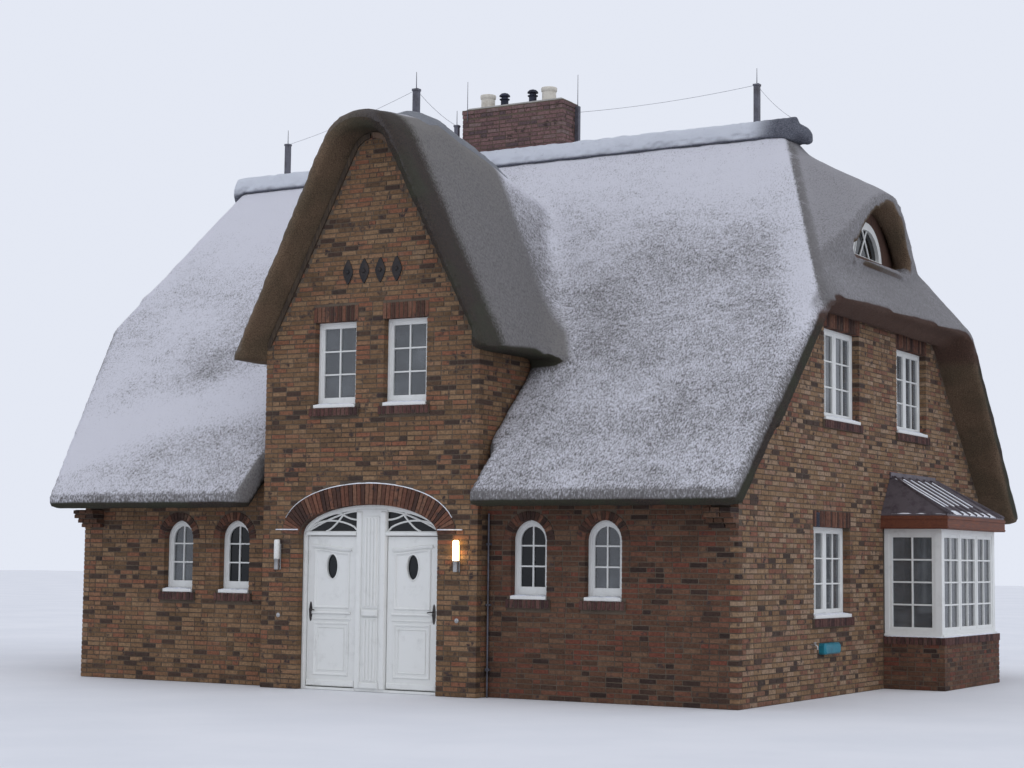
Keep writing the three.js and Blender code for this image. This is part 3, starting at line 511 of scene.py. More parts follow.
@dataclass(frozen=True)
class CappingFinish:
    """Blue-grey heather roll along a ridge with snow caught on its back."""

    name: str
    dark: Colour = (0.07, 0.074, 0.092)
    light: Colour = (0.24, 0.25, 0.295)
    snowed: float = 0.95
    bare_from: float = 90.0

    def make(self) -> bpy.types.Material:
        """Build the material."""
        s = NodeSketch(self.name)
        twig = s.noise(70, 6, 0.75)
        clump = s.noise(12, 4, 0.6)
        base = s.mix(s.step(twig, 0.38, 0.64), self.dark, self.light)
        lie = s.step(s.facing("Z"), -0.4, 0.3)
        dust = s.step(s.plus(s.both(twig, 0.7), clump), 0.3, 0.72)
        cover = s.both(lie, dust, self.snowed, s.along("X", self.bare_from + 0.5, self.bare_from))
        colour = s.mix(cover, base, (0.79, 0.82, 0.89))
        s.bump(s.plus(twig, clump), 0.03)
        return s.finish(colour, 0.93, specular=0.2)


@dataclass(frozen=True)
class PaintFinish:
    """Brushed paint on joinery, with faint dirt and worn lows."""

    name: str
    colour: Colour = (0.76, 0.765, 0.74)
    grime: Colour = (0.42, 0.42, 0.39)
    roughness: float = 0.38

    def make(self) -> bpy.types.Material:
        """Build the material."""
        s = NodeSketch(self.name)
        dirt = s.step(s.noise(5, 6, 0.65), 0.5, 0.86)
        brush = s.noise(60, 3, 0.5, (6.0, 6.0, 0.5))
        colour = s.mix(s.both(dirt, 0.45), self.colour, self.grime)
        rough = s.shade(brush, (0.3, self.roughness - 0.06), (0.7, self.roughness + 0.14))
        s.bump(brush, 0.0006)
        return s.finish(colour, rough, specular=0.5)


@dataclass(frozen=True)
class WoodFinish:
    """Stained or bare timber with grain along one axis."""

    name: str
    light: Colour = (0.22, 0.070, 0.030)
    dark: Colour = (0.095, 0.028, 0.015)
    along: tuple[float, float, float] = (14.0, 0.8, 14.0)
    roughness: float = 0.5

    def make(self) -> bpy.types.Material:
        """Build the material."""
        s = NodeSketch(self.name)
        grain = s.noise(5, 6, 0.7, self.along)
        stain = s.step(s.noise(3, 4), 0.4, 0.7)
        colour = s.mix(s.step(grain, 0.35, 0.68), self.dark, self.light)
        colour = s.mix(s.both(stain, 0.35), colour, self.dark)
        s.bump(grain, 0.0025)
        return s.finish(colour, s.shade(grain, (0.2, self.roughness), (0.8, 0.8)), specular=0.4)


@dataclass(frozen=True)
class MetalFinish:
    """Painted, rolled or wrought metal with handling marks."""

    name: str
    colour: Colour
    spots: Colour
    roughness: float = 0.45
    metal: float = 0.6
    beaten: float = 0.0012

    def make(self) -> bpy.types.Material:
        """Build the material."""
        s = NodeSketch(self.name)
        cloud = s.noise(7, 6, 0.6)
        marks = s.noise(55, 4, 0.7)
        colour = s.mix(s.step(cloud, 0.42, 0.72), self.colour, self.spots)
        rough = s.shade(marks, (0.3, self.roughness - 0.1), (0.75, self.roughness + 0.2))
        s.bump(marks, self.beaten)
        return s.finish(colour, rough, metal=self.metal, specular=0.5)


@dataclass(frozen=True)
class ClayFinish:
    """Fired clay or cast stone, slightly sooted."""

    name: str
    colour: Colour
    soot: Colour

    def make(self) -> bpy.types.Material:
        """Build the material."""
        s = NodeSketch(self.name)
        blotch = s.step(s.noise(9, 6, 0.65), 0.45, 0.78)
        pits = s.noise(120, 4, 0.7)
        colour = s.mix(s.both(blotch, 0.7), self.colour, self.soot)
        s.bump(pits, 0.002)
        return s.finish(colour, s.shade(pits, (0.2, 0.6), (0.8, 0.85)), specular=0.3)


@dataclass(frozen=True)
class SnowFinish:
    """Settled snow, soft, with painted bluish shade in the hollows of its bumps."""

    name: str = "settled snow"

    def make(self) -> bpy.types.Material:
        """Build the material."""
        s = NodeSketch(self.name)
        painted_light = s.noise(16, 5, 0.6)
        # Painted shade: the noise that raises the bumps turns their hollows darker and bluer.
        colour = s.mix(s.step(painted_light, 0.35, 0.65), (0.74, 0.77, 0.84), (0.9, 0.905, 0.92))
        s.bump(s.plus(painted_light, s.noise(140, 4, 0.7)), 0.006)
        return s.finish(colour, 0.8, specular=0.3)


@dataclass(frozen=True)
class GlassFinish:
    """Window glass that mirrors the sky, with painted shade of the room behind it in its base colour."""

    name: str
    tint: Colour = (0.012, 0.016, 0.02)
    clear: float = 0.62
    shine: float = 0.9

    def make(self) -> bpy.types.Material:
        """Build the material."""
        s = NodeSketch(self.name)
        wave = s.noise(1.6, 2, 0.4)
        # Painted shade: the tint stands for the room seen through the glass, near-black where it is unlit.
        colour = s.mix(s.step(s.noise(2.2, 3), 0.4, 0.7), self.tint, tuple(c * 1.6 for c in self.tint))
        s.bump(wave, 0.004, 0.5)
        s.shader.inputs["Alpha"].default_value = self.clear
        return s.finish(colour, 0.06, specular=self.shine)


@dataclass(frozen=True)
class LampFinish:
    """Opal lamp glass, lit or unlit."""

    name: str
    glow: float = 0.0
    warm: Colour = (1.0, 0.62, 0.22)

    def make(self) -> bpy.types.Material:
        """Build the material."""
        s = NodeSketch(self.name)
        milk = s.mix(s.step(s.noise(30, 3), 0.4, 0.7), (0.78, 0.78, 0.74), (0.86, 0.86, 0.83))
        s.shader.inputs["Emission Color"].default_value = (*self.warm, 1.0)
        s.shader.inputs["Emission Strength"].default_value = self.glow
        s.bump(s.noise(200, 2), 0.0004)
        return s.finish(milk, 0.3, specular=0.5)


class Finishes:
    """Every finish of the house, made once."""

    def __init__(self) -> None:
        """Make all the materials."""
        dark, brown, mid = (0.053, 0.036, 0.028), (0.142, 0.086, 0.047), (0.205, 0.120, 0.065)
        red, tan, pale = (0.222, 0.092, 0.054), (0.256, 0.163, 0.092), (0.312, 0.216, 0.145)
        shade_mid, shade_deep = (0.118, 0.058, 0.036), (0.036, 0.022, 0.018)
        self.front_brick = BrickFinish("front brick", (
            (0.0, dark), (0.08, (0.07, 0.043, 0.032)), (0.16, brown), (0.45, mid), (0.68, tan), (0.86, red),
            (1.0, mid),
        )).make()
        # Painted shade: a darker copy of the front brick, for the right front wall, the kneelers under the
        # eaves and the box bay's base.
        self.shaded_brick = BrickFinish("shaded brick", (
            (0.0, shade_deep), (0.08, (0.05, 0.03, 0.023)), (0.16, (0.095, 0.05, 0.031)), (0.5, shade_mid),
            (0.68, (0.155, 0.09, 0.055)), (0.84, (0.155, 0.052, 0.034)), (1.0, shade_mid),
        ), 0.06).make()
        self.gable_brick = BrickFinish("gable brick", (
            (0.0, dark), (0.06, (0.08, 0.05, 0.038)), (0.13, mid), (0.45, tan), (0.7, pale),
            (0.86, (0.20, 0.085, 0.054)), (1.0, (0.20, 0.11, 0.072)),
        ), 0.16).make()
        self.stack_brick = BrickFinish("stack brick", (
            (0.0, (0.10, 0.07, 0.075)), (0.2, (0.145, 0.088, 0.088)), (0.5, (0.178, 0.104, 0.102)),
            (0.8, (0.195, 0.116, 0.112)), (1.0, (0.19, 0.135, 0.13)),
        ), 0.06).make()
        self.arch_brick = BrickFinish("arch brick", (
            (0.0, (0.045, 0.026, 0.022)), (0.35, (0.085, 0.043, 0.031)), (0.65, (0.16, 0.068, 0.044)),
            (1.0, (0.18, 0.095, 0.062)),
        )).make()
        self.sill_brick = BrickFinish("sill brick", (
            (0.0, (0.05, 0.028, 0.027)), (0.5, (0.10, 0.046, 0.04)), (1.0, (0.125, 0.066, 0.056)),
        )).make()
        self.mortar = MortarFinish().make()
        self.floor = ClayFinish("screed floor", (0.28, 0.26, 0.23), (0.16, 0.14, 0.12)).make()
        self.thatch = ThatchFinish().make()
        self.capping = CappingFinish("heather roll", bare_from=3.35).make()
        self.bay_capping = CappingFinish(
            "bare heather roll", (0.014, 0.015, 0.016), (0.095, 0.096, 0.1), 0.3,
        ).make()
        self.white = PaintFinish("off-white paint").make()
        self.fascia = WoodFinish("stained fascia").make()
        self.board = WoodFinish(
            "dark verge board", (0.10, 0.07, 0.045), (0.04, 0.028, 0.02), (9.0, 9.0, 1.0), 0.7,
        ).make()
        self.fillet = ClayFinish("lime fillet", (0.20, 0.13, 0.09), (0.1, 0.065, 0.045)).make()
        self.lining = WoodFinish(
            "brown dormer lining", (0.12, 0.06, 0.04), (0.055, 0.028, 0.02), (12.0, 12.0, 1.2), 0.7,
        ).make()
        self.zinc = MetalFinish("seamed zinc", (0.15, 0.13, 0.145), (0.085, 0.068, 0.08), 0.5, 0.55).make()
        self.steel = MetalFinish(
            "grey post steel", (0.13, 0.13, 0.155), (0.08, 0.075, 0.085), 0.5, 0.5,
        ).make()
        self.wire = MetalFinish("weathered wire", (0.34, 0.35, 0.38), (0.24, 0.24, 0.26), 0.5, 0.5).make()
        self.iron = MetalFinish(
            "wrought iron", (0.028, 0.026, 0.028), (0.055, 0.04, 0.034), 0.6, 0.4, 0.004,
        ).make()
        self.bronze = MetalFinish("dark handle", (0.05, 0.045, 0.045), (0.12, 0.11, 0.1), 0.35, 0.85).make()
        self.bright = MetalFinish("brushed steel", (0.45, 0.45, 0.45), (0.3, 0.3, 0.3), 0.35, 0.9).make()
        self.teal = MetalFinish("teal enamel", (0.01, 0.19, 0.26), (0.01, 0.12, 0.18), 0.35, 0.1).make()
        self.pot = ClayFinish("cream clay", (0.67, 0.63, 0.55), (0.34, 0.29, 0.23)).make()
        self.cowl = MetalFinish("navy cowl", (0.012, 0.014, 0.03), (0.03, 0.034, 0.06), 0.6, 0.3).make()
        self.cement = ClayFinish("cement flaunching", (0.34, 0.33, 0.31), (0.2, 0.19, 0.18)).make()
        self.snow = SnowFinish().make()
        self.glass = GlassFinish("window glass", (0.11, 0.118, 0.125), 0.7).make()
        # Painted shade: near-black, almost opaque glass for the door lights, eyebrows and darker front
        # windows paints the unlit rooms behind.
        self.dark_glass = GlassFinish("door glass", (0.004, 0.005, 0.006), 0.97, 0.35).make()
        self.lamp_off = LampFinish("opal glass").make()
        self.lamp_on = LampFinish("lit opal glass", 9.0).make()


@dataclass(frozen=True)
class Plane:
    """A working plane: along and up lie in it, out leaves it."""

    origin: Vector
    along: Vector
    up: Vector
    out: Vector

    def at(self, u: float, v: float, w: float = 0.0) -> Vector:
        """The point at u along, v up and w out."""
        return self.origin + self.along * u + self.up * v + self.out * w

    def lay(self, line: Sequence[Flat], w: float) -> list[Vector]:
        """An outline placed w out."""
        return [self.at(u, v, w) for u, v in line]


def front_plane(y: float) -> Plane:
    """A plane that faces the front, with u = X and v = Z."""
    return Plane(Vector((0, y, 0)), Vector((1, 0, 0)), Vector((0, 0, 1)), Vector((0, -1, 0)))


def rear_plane(y: float) -> Plane:
    """A plane that faces the rear, with u = -X and v = Z."""
    return Plane(Vector((0, y, 0)), Vector((-1, 0, 0)), Vector((0, 0, 1)), Vector((0, 1, 0)))


def inner_plane(y: float) -> Plane:
    """A plane that faces the rear, with u = X and v = Z."""
    return Plane(Vector((0, y, 0)), Vector((1, 0, 0)), Vector((0, 0, 1)), Vector((0, 1, 0)))


def right_plane(x: float) -> Plane:
    """A plane that faces right, with u = Y and v = Z."""
    return Plane(Vector((x, 0, 0)), Vector((0, 1, 0)), Vector((0, 0, 1)), Vector((1, 0, 0)))


def left_plane(x: float) -> Plane:
    """A plane that faces left, with u = -Y and v = Z."""
    return Plane(Vector((x, 0, 0)), Vector((0, -1, 0)), Vector((0, 0, 1)), Vector((-1, 0, 0)))


class Draft:
    """Collects the closed solids of one piece and turns them into a mesh object."""

    def __init__(self, name: str, seed: int = 1) -> None:
        """Start an empty piece.

        Args:
            name: Name of the piece.
            seed: Seed of its random draws.
        """
        self.name = name
        self.points: list[Vector] = []
        self.faces: list[tuple[int, ...]] = []
        self.tones: list[float] = []
        self.chance = random.Random(seed)

    def face(self, indices: Sequence[int], tone: float) -> None:
        """Add one face with its tone."""
        self.faces.append(tuple(indices))
        self.tones.append(tone)

    def loft(
        self, loops: Sequence[Sequence[Vector]], tone: float = 0.5, ring: bool = False,
    ) -> None:
        """Skin a run of loops of equal count.

        Args:
            loops: The loops in order.
            tone: Shade stored on the faces.
            ring: True when the last loop joins the first.
        """
        base = len(self.points)
        count = len(loops[0])
        for loop in loops:
            self.points.extend(Vector(p) for p in loop)
        turns = len(loops) if ring else len(loops) - 1
        for j in range(turns):
            a = base + j * count
            b = base + ((j + 1) % len(loops)) * count
            for i in range(count):
                k = (i + 1) % count
                self.face((a + i, a + k, b + k, b + i), tone)
        if not ring:
            self.face([base + i for i in range(count)], tone)
            self.face([base + (len(loops) - 1) * count + i for i in range(count)], tone)

    def shell(self, plane: Plane, rows: Sequence[Row], ring: bool = False, tone: float = 0.5) -> None:
        """Skin outlines that lie at several depths of a plane.

        Args:
            plane: Where they lie.
            rows: Each outline with its place out.
            ring: True when the last outline joins the first.
            tone: Shade stored on the faces.
        """
        self.loft([plane.lay(line, w) for line, w in rows], tone, ring)

    def slab(self, plane: Plane, u: Flat, v: Flat, w: Flat, taper: float = 0.0) -> None:
        """A box on a plane, with its outer face drawn in by taper.

        Args:
            plane: Where it lies.
            u: Reach along.
            v: Reach up.
            w: Reach out, back first.
            taper: How far the outer face is drawn in.
        """
        rows = [(quad(u, v), w[0]), (quad(u, v), w[1] - taper), (quad(u, v, taper), w[1])]
        self.shell(plane, rows if taper > 0 else rows[::2])

    def brick(self, plane: Plane, u: Flat, v: Flat, back: float = SEAT, proud: float = PROUD) -> None:
        """One brick with slightly worn arrises.

        Args:
            plane: The wall face.
            u: Reach along the course.
            v: Reach up.
            back: How far it goes into the wall.
            proud: How far it stands out of the joints.
        """
        tone = self.chance.random()
        out = proud + self.chance.uniform(-0.0012, 0.0012)
        self.shell(plane, [(quad(u, v), -back), (quad(u, v, ARRIS), out)], tone=tone)

    def wedge(self, plane: Plane, outline: Sequence[Flat], back: float, proud: float) -> None:
        """One cut brick with a four-cornered face.

        Args:
            plane: The wall face.
            outline: Corners in order.
            back: How far it goes into the wall.
            proud: How far it stands out.
        """
        tone = self.chance.random()
        out = proud + self.chance.uniform(-0.001, 0.001)
        worn = scaled(outline, middle(outline), 0.965, 0.985)
        self.shell(plane, [(outline, -back), (worn, out)], tone=tone)

    def frame(
        self, plane: Plane, outer: Sequence[Flat], inner: Sequence[Flat], w: Flat, chamfer: float = 0.006,
    ) -> None:
        """A closed frame between two outlines, chamfered at its inner front edge.

        Args:
            plane: Where it lies.
            outer: Outer outline.
            inner: Inner outline, with as many points.
            w: Back and front.
            chamfer: Width of the chamfer.
        """
        back, front = w
        self.shell(plane, [
            (outer, back), (outer, front - chamfer * 0.5), (nudged(outer, chamfer * 0.5, -1), front),
            (nudged(inner, chamfer, 1), front), (inner, front - chamfer), (inner, back),
        ], ring=True)

    def panel(self, plane: Plane, outline: Sequence[Flat], w: Flat) -> None:
        """A closed sheet with the given outline, from back to front."""
        self.shell(plane, [(outline, w[0]), (outline, w[1])])

    def tube(self, path: Sequence[Vector], radius: float | Sequence[float], sides: int = 12) -> None:
        """A round bar along a path.

        Args:
            path: Its centre line.
            radius: One radius or one for each point.
            sides: Sides of the section.
        """
        radii = [radius] * len(path) if isinstance(radius, (int, float)) else list(radius)
        loops = []
        side = (path[1] - path[0]).normalized().orthogonal().normalized()
        for i, point in enumerate(path):
            ahead = path[min(i + 1, len(path) - 1)] - path[max(i - 1, 0)]
            ahead.normalize()
            side = (side - ahead * side.dot(ahead)).normalized()
            other = ahead.cross(side)
            loops.append([point + (side * c + other * s) * radii[i] for c, s in circle(sides)])
        self.loft(loops)

    def turned(self, centre: Vector, profile: Sequence[Flat], sides: int = 28) -> None:
        """A turned solid round an upright axis.

        Args:
            centre: Foot of the axis.
            profile: Radius and height pairs from the bottom up.
            sides: Sides of the section.
        """
        self.loft([[centre + Vector((r * c, r * s, z)) for c, s in circle(sides)] for r, z in profile])

    def boss(self, plane: Plane, u: float, v: float, radius: float, out: float) -> None:
        """A round boss on a wall face.

        Args:
            plane: The wall face.
            u: Place along.
            v: Place up.
            radius: Its radius.
            out: How far it stands out.
        """
        steps = ((1.0, 0.0), (1.0, out * 0.6), (0.8, out * 0.9), (0.4, out))
        self.shell(plane, [(ellipse((u, v), radius * r, radius * r, 20), w) for r, w in steps])

    def make(
        self, material: bpy.types.Material, body: str = HOUSE, slot: str | None = None,
        smooth: float | None = None, stands_for: Sequence[str] = (),
    ) -> None:
        """Build the mesh, give it its finish and let it ride.

        Args:
            material: The finish.
            body: Body that it moves with.
            slot: Material slot of the record. Not used.
            smooth: Angle in degrees under which edges are shaded smooth.
            stands_for: Frame nodes that it replaces.
        """
        mesh = bpy.data.meshes.new(self.name)
        mesh.from_pydata([tuple(p) for p in self.points], [], self.faces)
        tone = mesh.attributes.new("tone", "FLOAT", "FACE")
        tone.data.foreach_set("value", np.array(self.tones, np.float32))
        work = bmesh.new()
        work.from_mesh(mesh)
        bmesh.ops.recalc_face_normals(work, faces=work.faces)
        work.to_mesh(mesh)
        work.free()
        mesh.materials.append(material)
        thing = link(self.name, mesh)
        if smooth is not None:
            shade_by_angle(mesh, smooth)
        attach(thing, body)
        if stands_for:
            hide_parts(*stands_for)
        LOG.info("%s: %d faces", self.name, len(self.faces))


def dress(node: str, material: bpy.types.Material) -> None:
    """Give a carried-over frame node its finish.

    Args:
        node: Name of the node.
        material: The finish.
    """
    mesh = NODES[node].data
    mesh.materials.clear()
    mesh.materials.append(material)


def link(name: str, data: bpy.types.ID) -> Thing:
    """Put a new object into the scene.

    Args:
        name: Its name.
        data: Its mesh, light or camera.

    Returns:
        The object.
    """
    thing = bpy.data.objects.new(name, data)
    bpy.context.scene.collection.objects.link(thing)
    return thing


def shade_by_angle(mesh: bpy.types.Mesh, degrees: float) -> None:
    """Shade smooth below an angle and mark the rest as sharp edges."""
    work = bmesh.new()
    work.from_mesh(mesh)
    limit = radians(degrees)
    for face in work.faces:
        face.smooth = True
    for edge in work.edges:
        edge.smooth = len(edge.link_faces) == 2 and edge.calc_face_angle(0.0) < limit
    work.to_mesh(mesh)
    work.free()


def quad(u: Flat, v: Flat, inset: float = 0.0) -> list[Flat]:
    """Corners of a rectangle from the lower left, drawn in on every side."""
    a, b, low, high = u[0] + inset, u[1] - inset, v[0] + inset, v[1] - inset
    return [(a, low), (b, low), (b, high), (a, high)]


def circle(count: int) -> list[Flat]:
    """Cosine and sine of equal steps round a turn."""
    return [(cos(tau * i / count), sin(tau * i / count)) for i in range(count)]


def ellipse(centre: Flat, wide: float, tall: float, count: int) -> list[Flat]:
    """Points of an ellipse with the given half width and half height."""
    return [(centre[0] + wide * c, centre[1] + tall * s) for c, s in circle(count)]


def middle(line: Sequence[Flat]) -> Flat:
    """Mean of some points."""
    return (sum(p[0] for p in line) / len(line), sum(p[1] for p in line) / len(line))


def scaled(line: Sequence[Flat], centre: Flat, wide: float, tall: float) -> list[Flat]:
    """Points pulled towards a centre, to a share of their width and height."""
    return [(centre[0] + (p[0] - centre[0]) * wide, centre[1] + (p[1] - centre[1]) * tall) for p in line]


def nudged(line: Sequence[Flat], by: float, way: int) -> list[Flat]:
    """Points moved by a small step from their middle (way 1) or towards it (way -1)."""
    cu, cv = middle(line)

    def moved(q: float, c: float) -> float:
        """One coordinate after the step."""
        return q + way * copysign(min(by, abs(q - c)), q - c)

    return [(moved(p[0], cu), moved(p[1], cv)) for p in line]


def rounded_gable(foot: float, foot_z: float, slope: float, top: float, steps: int) -> list[Flat]:
    """Two straight slopes joined by an arc under the given top.

    Args:
        foot: Half width at the foot.
        foot_z: Height of the foot.
        slope: Rise over run.
        top: Height of the crown.
        steps: Steps of the arc.

    Returns:
        The outline from left foot to right foot, from the middle line.
    """
    half = atan(slope)
    sharp = foot_z + foot * slope
    r = (sharp - top) / (1 / cos(half) - 1)
    points = [(-foot, foot_z)]
    for i in range(steps + 1):
        a = pi / 2 + half - 2 * half * i / steps
        points.append((r * cos(a), top - r + r * sin(a)))
    points.append((foot, foot_z))
    return points


def oval_points(centre: float, half: float, spring: float, crown: float, steps: int) -> list[Flat]:
    """Points of a half-elliptical arch from left to right springing.

    Args:
        centre: Middle of the arch.
        half: Half span.
        spring: Height of the springing.
        crown: Height of the crown.
        steps: Steps of the arch.

    Returns:
        The points.
    """
    turns = [pi * i / steps for i in range(steps + 1)]
    return [(centre - half * cos(a), spring + (crown - spring) * sin(a)) for a in turns]


def arch_points(centre: float, half: float, spring: float, crown: float, steps: int) -> list[Flat]:
    """Points of a round arch from left to right springing.

    Args:
        centre: Middle of the arch.
        half: Half span.
        spring: Height of the springing.
        crown: Height of the crown.
        steps: Steps of the arch.

    Returns:
        The points.
    """
    rise = crown - spring
    r = (half * half + rise * rise) / (2 * rise)
    a = asin(min(1.0, half / r))
    if rise > half:
        a = pi - a
    return [
        (centre + r * sin(-a + 2 * a * i / steps), crown - r + r * cos(-a + 2 * a * i / steps))
        for i in range(steps + 1)
    ]


class Hole:
    """Something that the courses stop at."""

    def span(self, low: float, high: float) -> Flat | None:
        """The stretch that it takes out of a course between two heights."""
        raise NotImplementedError


@dataclass(frozen=True)
class RectHole(Hole):
    """A straight-sided opening."""

    u0: float
    u1: float
    v0: float
    v1: float
    jamb: bool = True

    def span(self, low: float, high: float) -> Flat | None:
        """The stretch that it takes out of a course between two heights."""
        return (self.u0, self.u1) if high > self.v0 + 0.004 and low < self.v1 - 0.004 else None


@dataclass(frozen=True)
class ArchHole(Hole):
    """An opening whose sides follow a width that changes with height."""

    centre: float
    half: Callable[[float], float]
    v0: float
    v1: float
    jamb: bool = True

    def span(self, low: float, high: float) -> Flat | None:
        """The stretch that it takes out of a course between two heights."""
        if high <= self.v0 or low >= self.v1:
            return None
        reach = max(self.half(max(low, self.v0)), self.half(min(high, self.v1)))
        return (self.centre - reach, self.centre + reach) if reach > 0 else None


class End(Enum):
    """How a course ends."""

    FREE = "free"
    JAMB = "jamb"
    LOW_QUOIN = "low quoin"
    HIGH_QUOIN = "high quoin"


@dataclass
class Brickwork:
    """Wild-bond brickwork laid over one wall face."""

    plane: Plane
    left: Callable[[float], float]
    right: Callable[[float], float]
    bottom: float
    top: float
    holes: list[Hole] = field(default_factory=list)
    left_end: End = End.FREE
    right_end: End = End.FREE
    seed: int = 7

    def spans(self, low: float, high: float) -> list[tuple[float, End, float, End]]:
        """The laid stretches of one course.

        Args:
            low: Its lower edge.
            high: Its upper edge.

        Returns:
            Start, kind of start, end and kind of end of each stretch.
        """
        a = max(self.left(low), self.left(high))
        b = min(self.right(low), self.right(high))
        runs = [(a, self.left_end, b, self.right_end)]
        for hole in self.holes:
            cut = hole.span(low, high)
            if cut is None:
                continue
            kind = End.JAMB if hole.jamb else End.FREE
            fresh = []
            for start, first, stop, last in runs:
                if cut[1] <= start or cut[0] >= stop:
                    fresh.append((start, first, stop, last))
                    continue
                if cut[0] > start:
                    fresh.append((start, first, cut[0], kind))
                if cut[1] < stop:
                    fresh.append((cut[1], kind, stop, last))
            runs = fresh
        return runs

    def lay(self, draft: Draft) -> None:
        """Lay every course into a draft."""
        chance = random.Random(self.seed)
        first = ceil((self.bottom - BED) / COURSE)
        last = int((self.top - BRICK_TALL) / COURSE)
        for i in range(first, last + 1):
            low = i * COURSE + BED
            self.course(draft, i, low, low + BRICK_TALL, chance)

    def course(self, draft: Draft, i: int, low: float, high: float, chance: random.Random) -> None:
        """Lay one course.

        Args:
            draft: Where the bricks go.
            i: Number of the course.
            low: Its lower edge.
            high: Its upper edge.
            chance: Source of the bond's variation.
        """
        through = i % 2 == 0
        for start, first, stop, last in self.spans(low, high):
            u = start
            if first in (End.LOW_QUOIN, End.HIGH_QUOIN):
                u = start - PROUD if through == (first is End.LOW_QUOIN) else start + BRICK_HEAD + JOINT
            edge = stop
            if last in (End.LOW_QUOIN, End.HIGH_QUOIN):
                edge = stop + PROUD if through == (last is End.LOW_QUOIN) else stop - BRICK_HEAD - JOINT
            quoin_left = u < start
            quoin_right = edge > stop
            begin = True
            while edge - u > 0.02:
                header = chance.random() < (0.5 if begin else 0.3)
                size = (BRICK_HEAD if header else BRICK_LONG) + chance.uniform(-0.003, 0.003)
                tip = u + size
                if edge - tip < SHORTEST:
                    tip = edge
                if tip - u > LONGEST:
                    tip = u + (tip - u) / 2 - JOINT / 2
                end_here = abs(tip - edge) < 1e-6
                deep = SEAT
                left, right = u, tip
                if (begin and first is End.JAMB) or (end_here and last is End.JAMB):
                    deep = REVEAL - 0.002
                    left = u - 0.003 if begin and first is End.JAMB else u
                    right = tip + 0.003 if end_here and last is End.JAMB else tip
                if (begin and quoin_left) or (end_here and quoin_right):
                    deep = BRICK_HEAD - 0.002
                draft.brick(self.plane, (left, right), (low, high), deep)
                u = tip + JOINT
                begin = False


def fixed(place: float) -> Callable[[float], float]:
    """An edge that stays at one place at every height."""
    return lambda v: place


def soldiers(
    draft: Draft, plane: Plane, u: Flat, v: Flat, deep: float = REVEAL - 0.002, proud: float = PROUD,
) -> None:
    """A row of upright bricks.

    Args:
        draft: Where the bricks go.
        plane: The wall face.
        u: Reach along.
        v: Reach up.
        deep: How far they go into the wall.
        proud: How far they stand out.
    """
    count = max(1, round((u[1] - u[0]) / COURSE))
    pitch = (u[1] - u[0]) / count
    for i in range(count):
        a = u[0] + i * pitch
        draft.brick(plane, (a + JOINT / 2, a + pitch - JOINT / 2), v, deep, proud)


def arch_ring(
    draft: Draft, plane: Plane, inner: Sequence[Flat], thick: float, deep: float, proud: float,
) -> None:
    """Bricks set round the back of an arch.

    Args:
        draft: Where the bricks go.
        plane: The wall face.
        inner: Points of the opening's edge, finely spaced.
        thick: Height of the ring.
        deep: How far the bricks go into the wall.
        proud: How far they stand out.
    """
    outer = offset_line(inner, thick)
    lengths = [0.0]
    for a, b in zip(outer, outer[1:]):
        lengths.append(lengths[-1] + dist(a, b))
    count = max(3, round(lengths[-1] / (COURSE * 1.06)))
    share = JOINT / 2 / (lengths[-1] / count)
    for i in range(count):
        ends = []
        for t in (i + share, i + 1 - share):
            where = t / count * lengths[-1]
            k = max(1, next((j for j, d in enumerate(lengths) if d >= where), len(lengths) - 1))
            f = (where - lengths[k - 1]) / (lengths[k] - lengths[k - 1])
            ends.append([
                tuple(line[k - 1][c] + (line[k][c] - line[k - 1][c]) * f for c in (0, 1))
                for line in (inner, outer)
            ])
        draft.wedge(plane, (ends[0][0], ends[1][0], ends[1][1], ends[0][1]), deep, proud)


def offset_line(line: Sequence[Flat], by: float) -> list[Flat]:
    """Points moved to the left of a line's run by a distance.

    Args:
        line: The points.
        by: The distance.

    Returns:
        The moved points.
    """
    moved = []
    for i, p in enumerate(line):
        a = line[max(0, i - 1)]
        b = line[min(len(line) - 1, i + 1)]
        size = dist(a, b)
        moved.append((p[0] - (b[1] - a[1]) / size * by, p[1] + (b[0] - a[0]) / size * by))
    return moved


def snow_strip(draft: Draft, plane: Plane, u: Flat, v: float, w: Flat, height: float) -> None:
    """A lumpy strip of snow on a ledge.

    Args:
        draft: Where it goes.
        plane: The wall face.
        u: Reach along.
        v: Height of the ledge.
        w: Back and front of the ledge.
        height: Depth of the snow.
    """
    count = max(6, int((u[1] - u[0]) / 0.035))
    loops = []
    for i in range(count + 1):
        t = i / count
        at = u[0] + (u[1] - u[0]) * t
        taper = min(1.0, 6 * t, 6 * (1 - t)) * 0.85 + 0.15
        h = height * taper * (0.75 + 0.5 * noise.noise(Vector((at * 7.3, v * 3.1, w[1] * 5 + 2))))
        reach = w[1] + 0.008 * noise.noise(Vector((at * 11.0, v, 9.0)))
        loops.append([plane.at(at, v + up, out) for up, out in (
            (-0.004, w[0]), (-0.004, reach - 0.004), (h * 0.35, reach),
            (h * 0.85, reach - (reach - w[0]) * 0.2), (h, (w[0] + reach) / 2), (h * 0.9, w[0]),
        )])
    draft.loft(loops)


@dataclass(frozen=True)
class WindowPlace:
    """Where a window sits on its wall face, and how it is divided."""

    name: str
    plane: Plane
    u: float
    wide: float
    low: float
    high: float
    sashes: int = 1
    columns: int = 2
    rows: int = 3
    arched: bool = False
    # True where the glass paints the shade of an unlit room behind.
    dark: bool = False
    kick: float = 0.04

    def reach(self, grow: float = 0.0) -> Flat:
        """Its left and right edge, moved out by some room."""
        return (self.u - self.wide / 2 - grow, self.u + self.wide / 2 + grow)


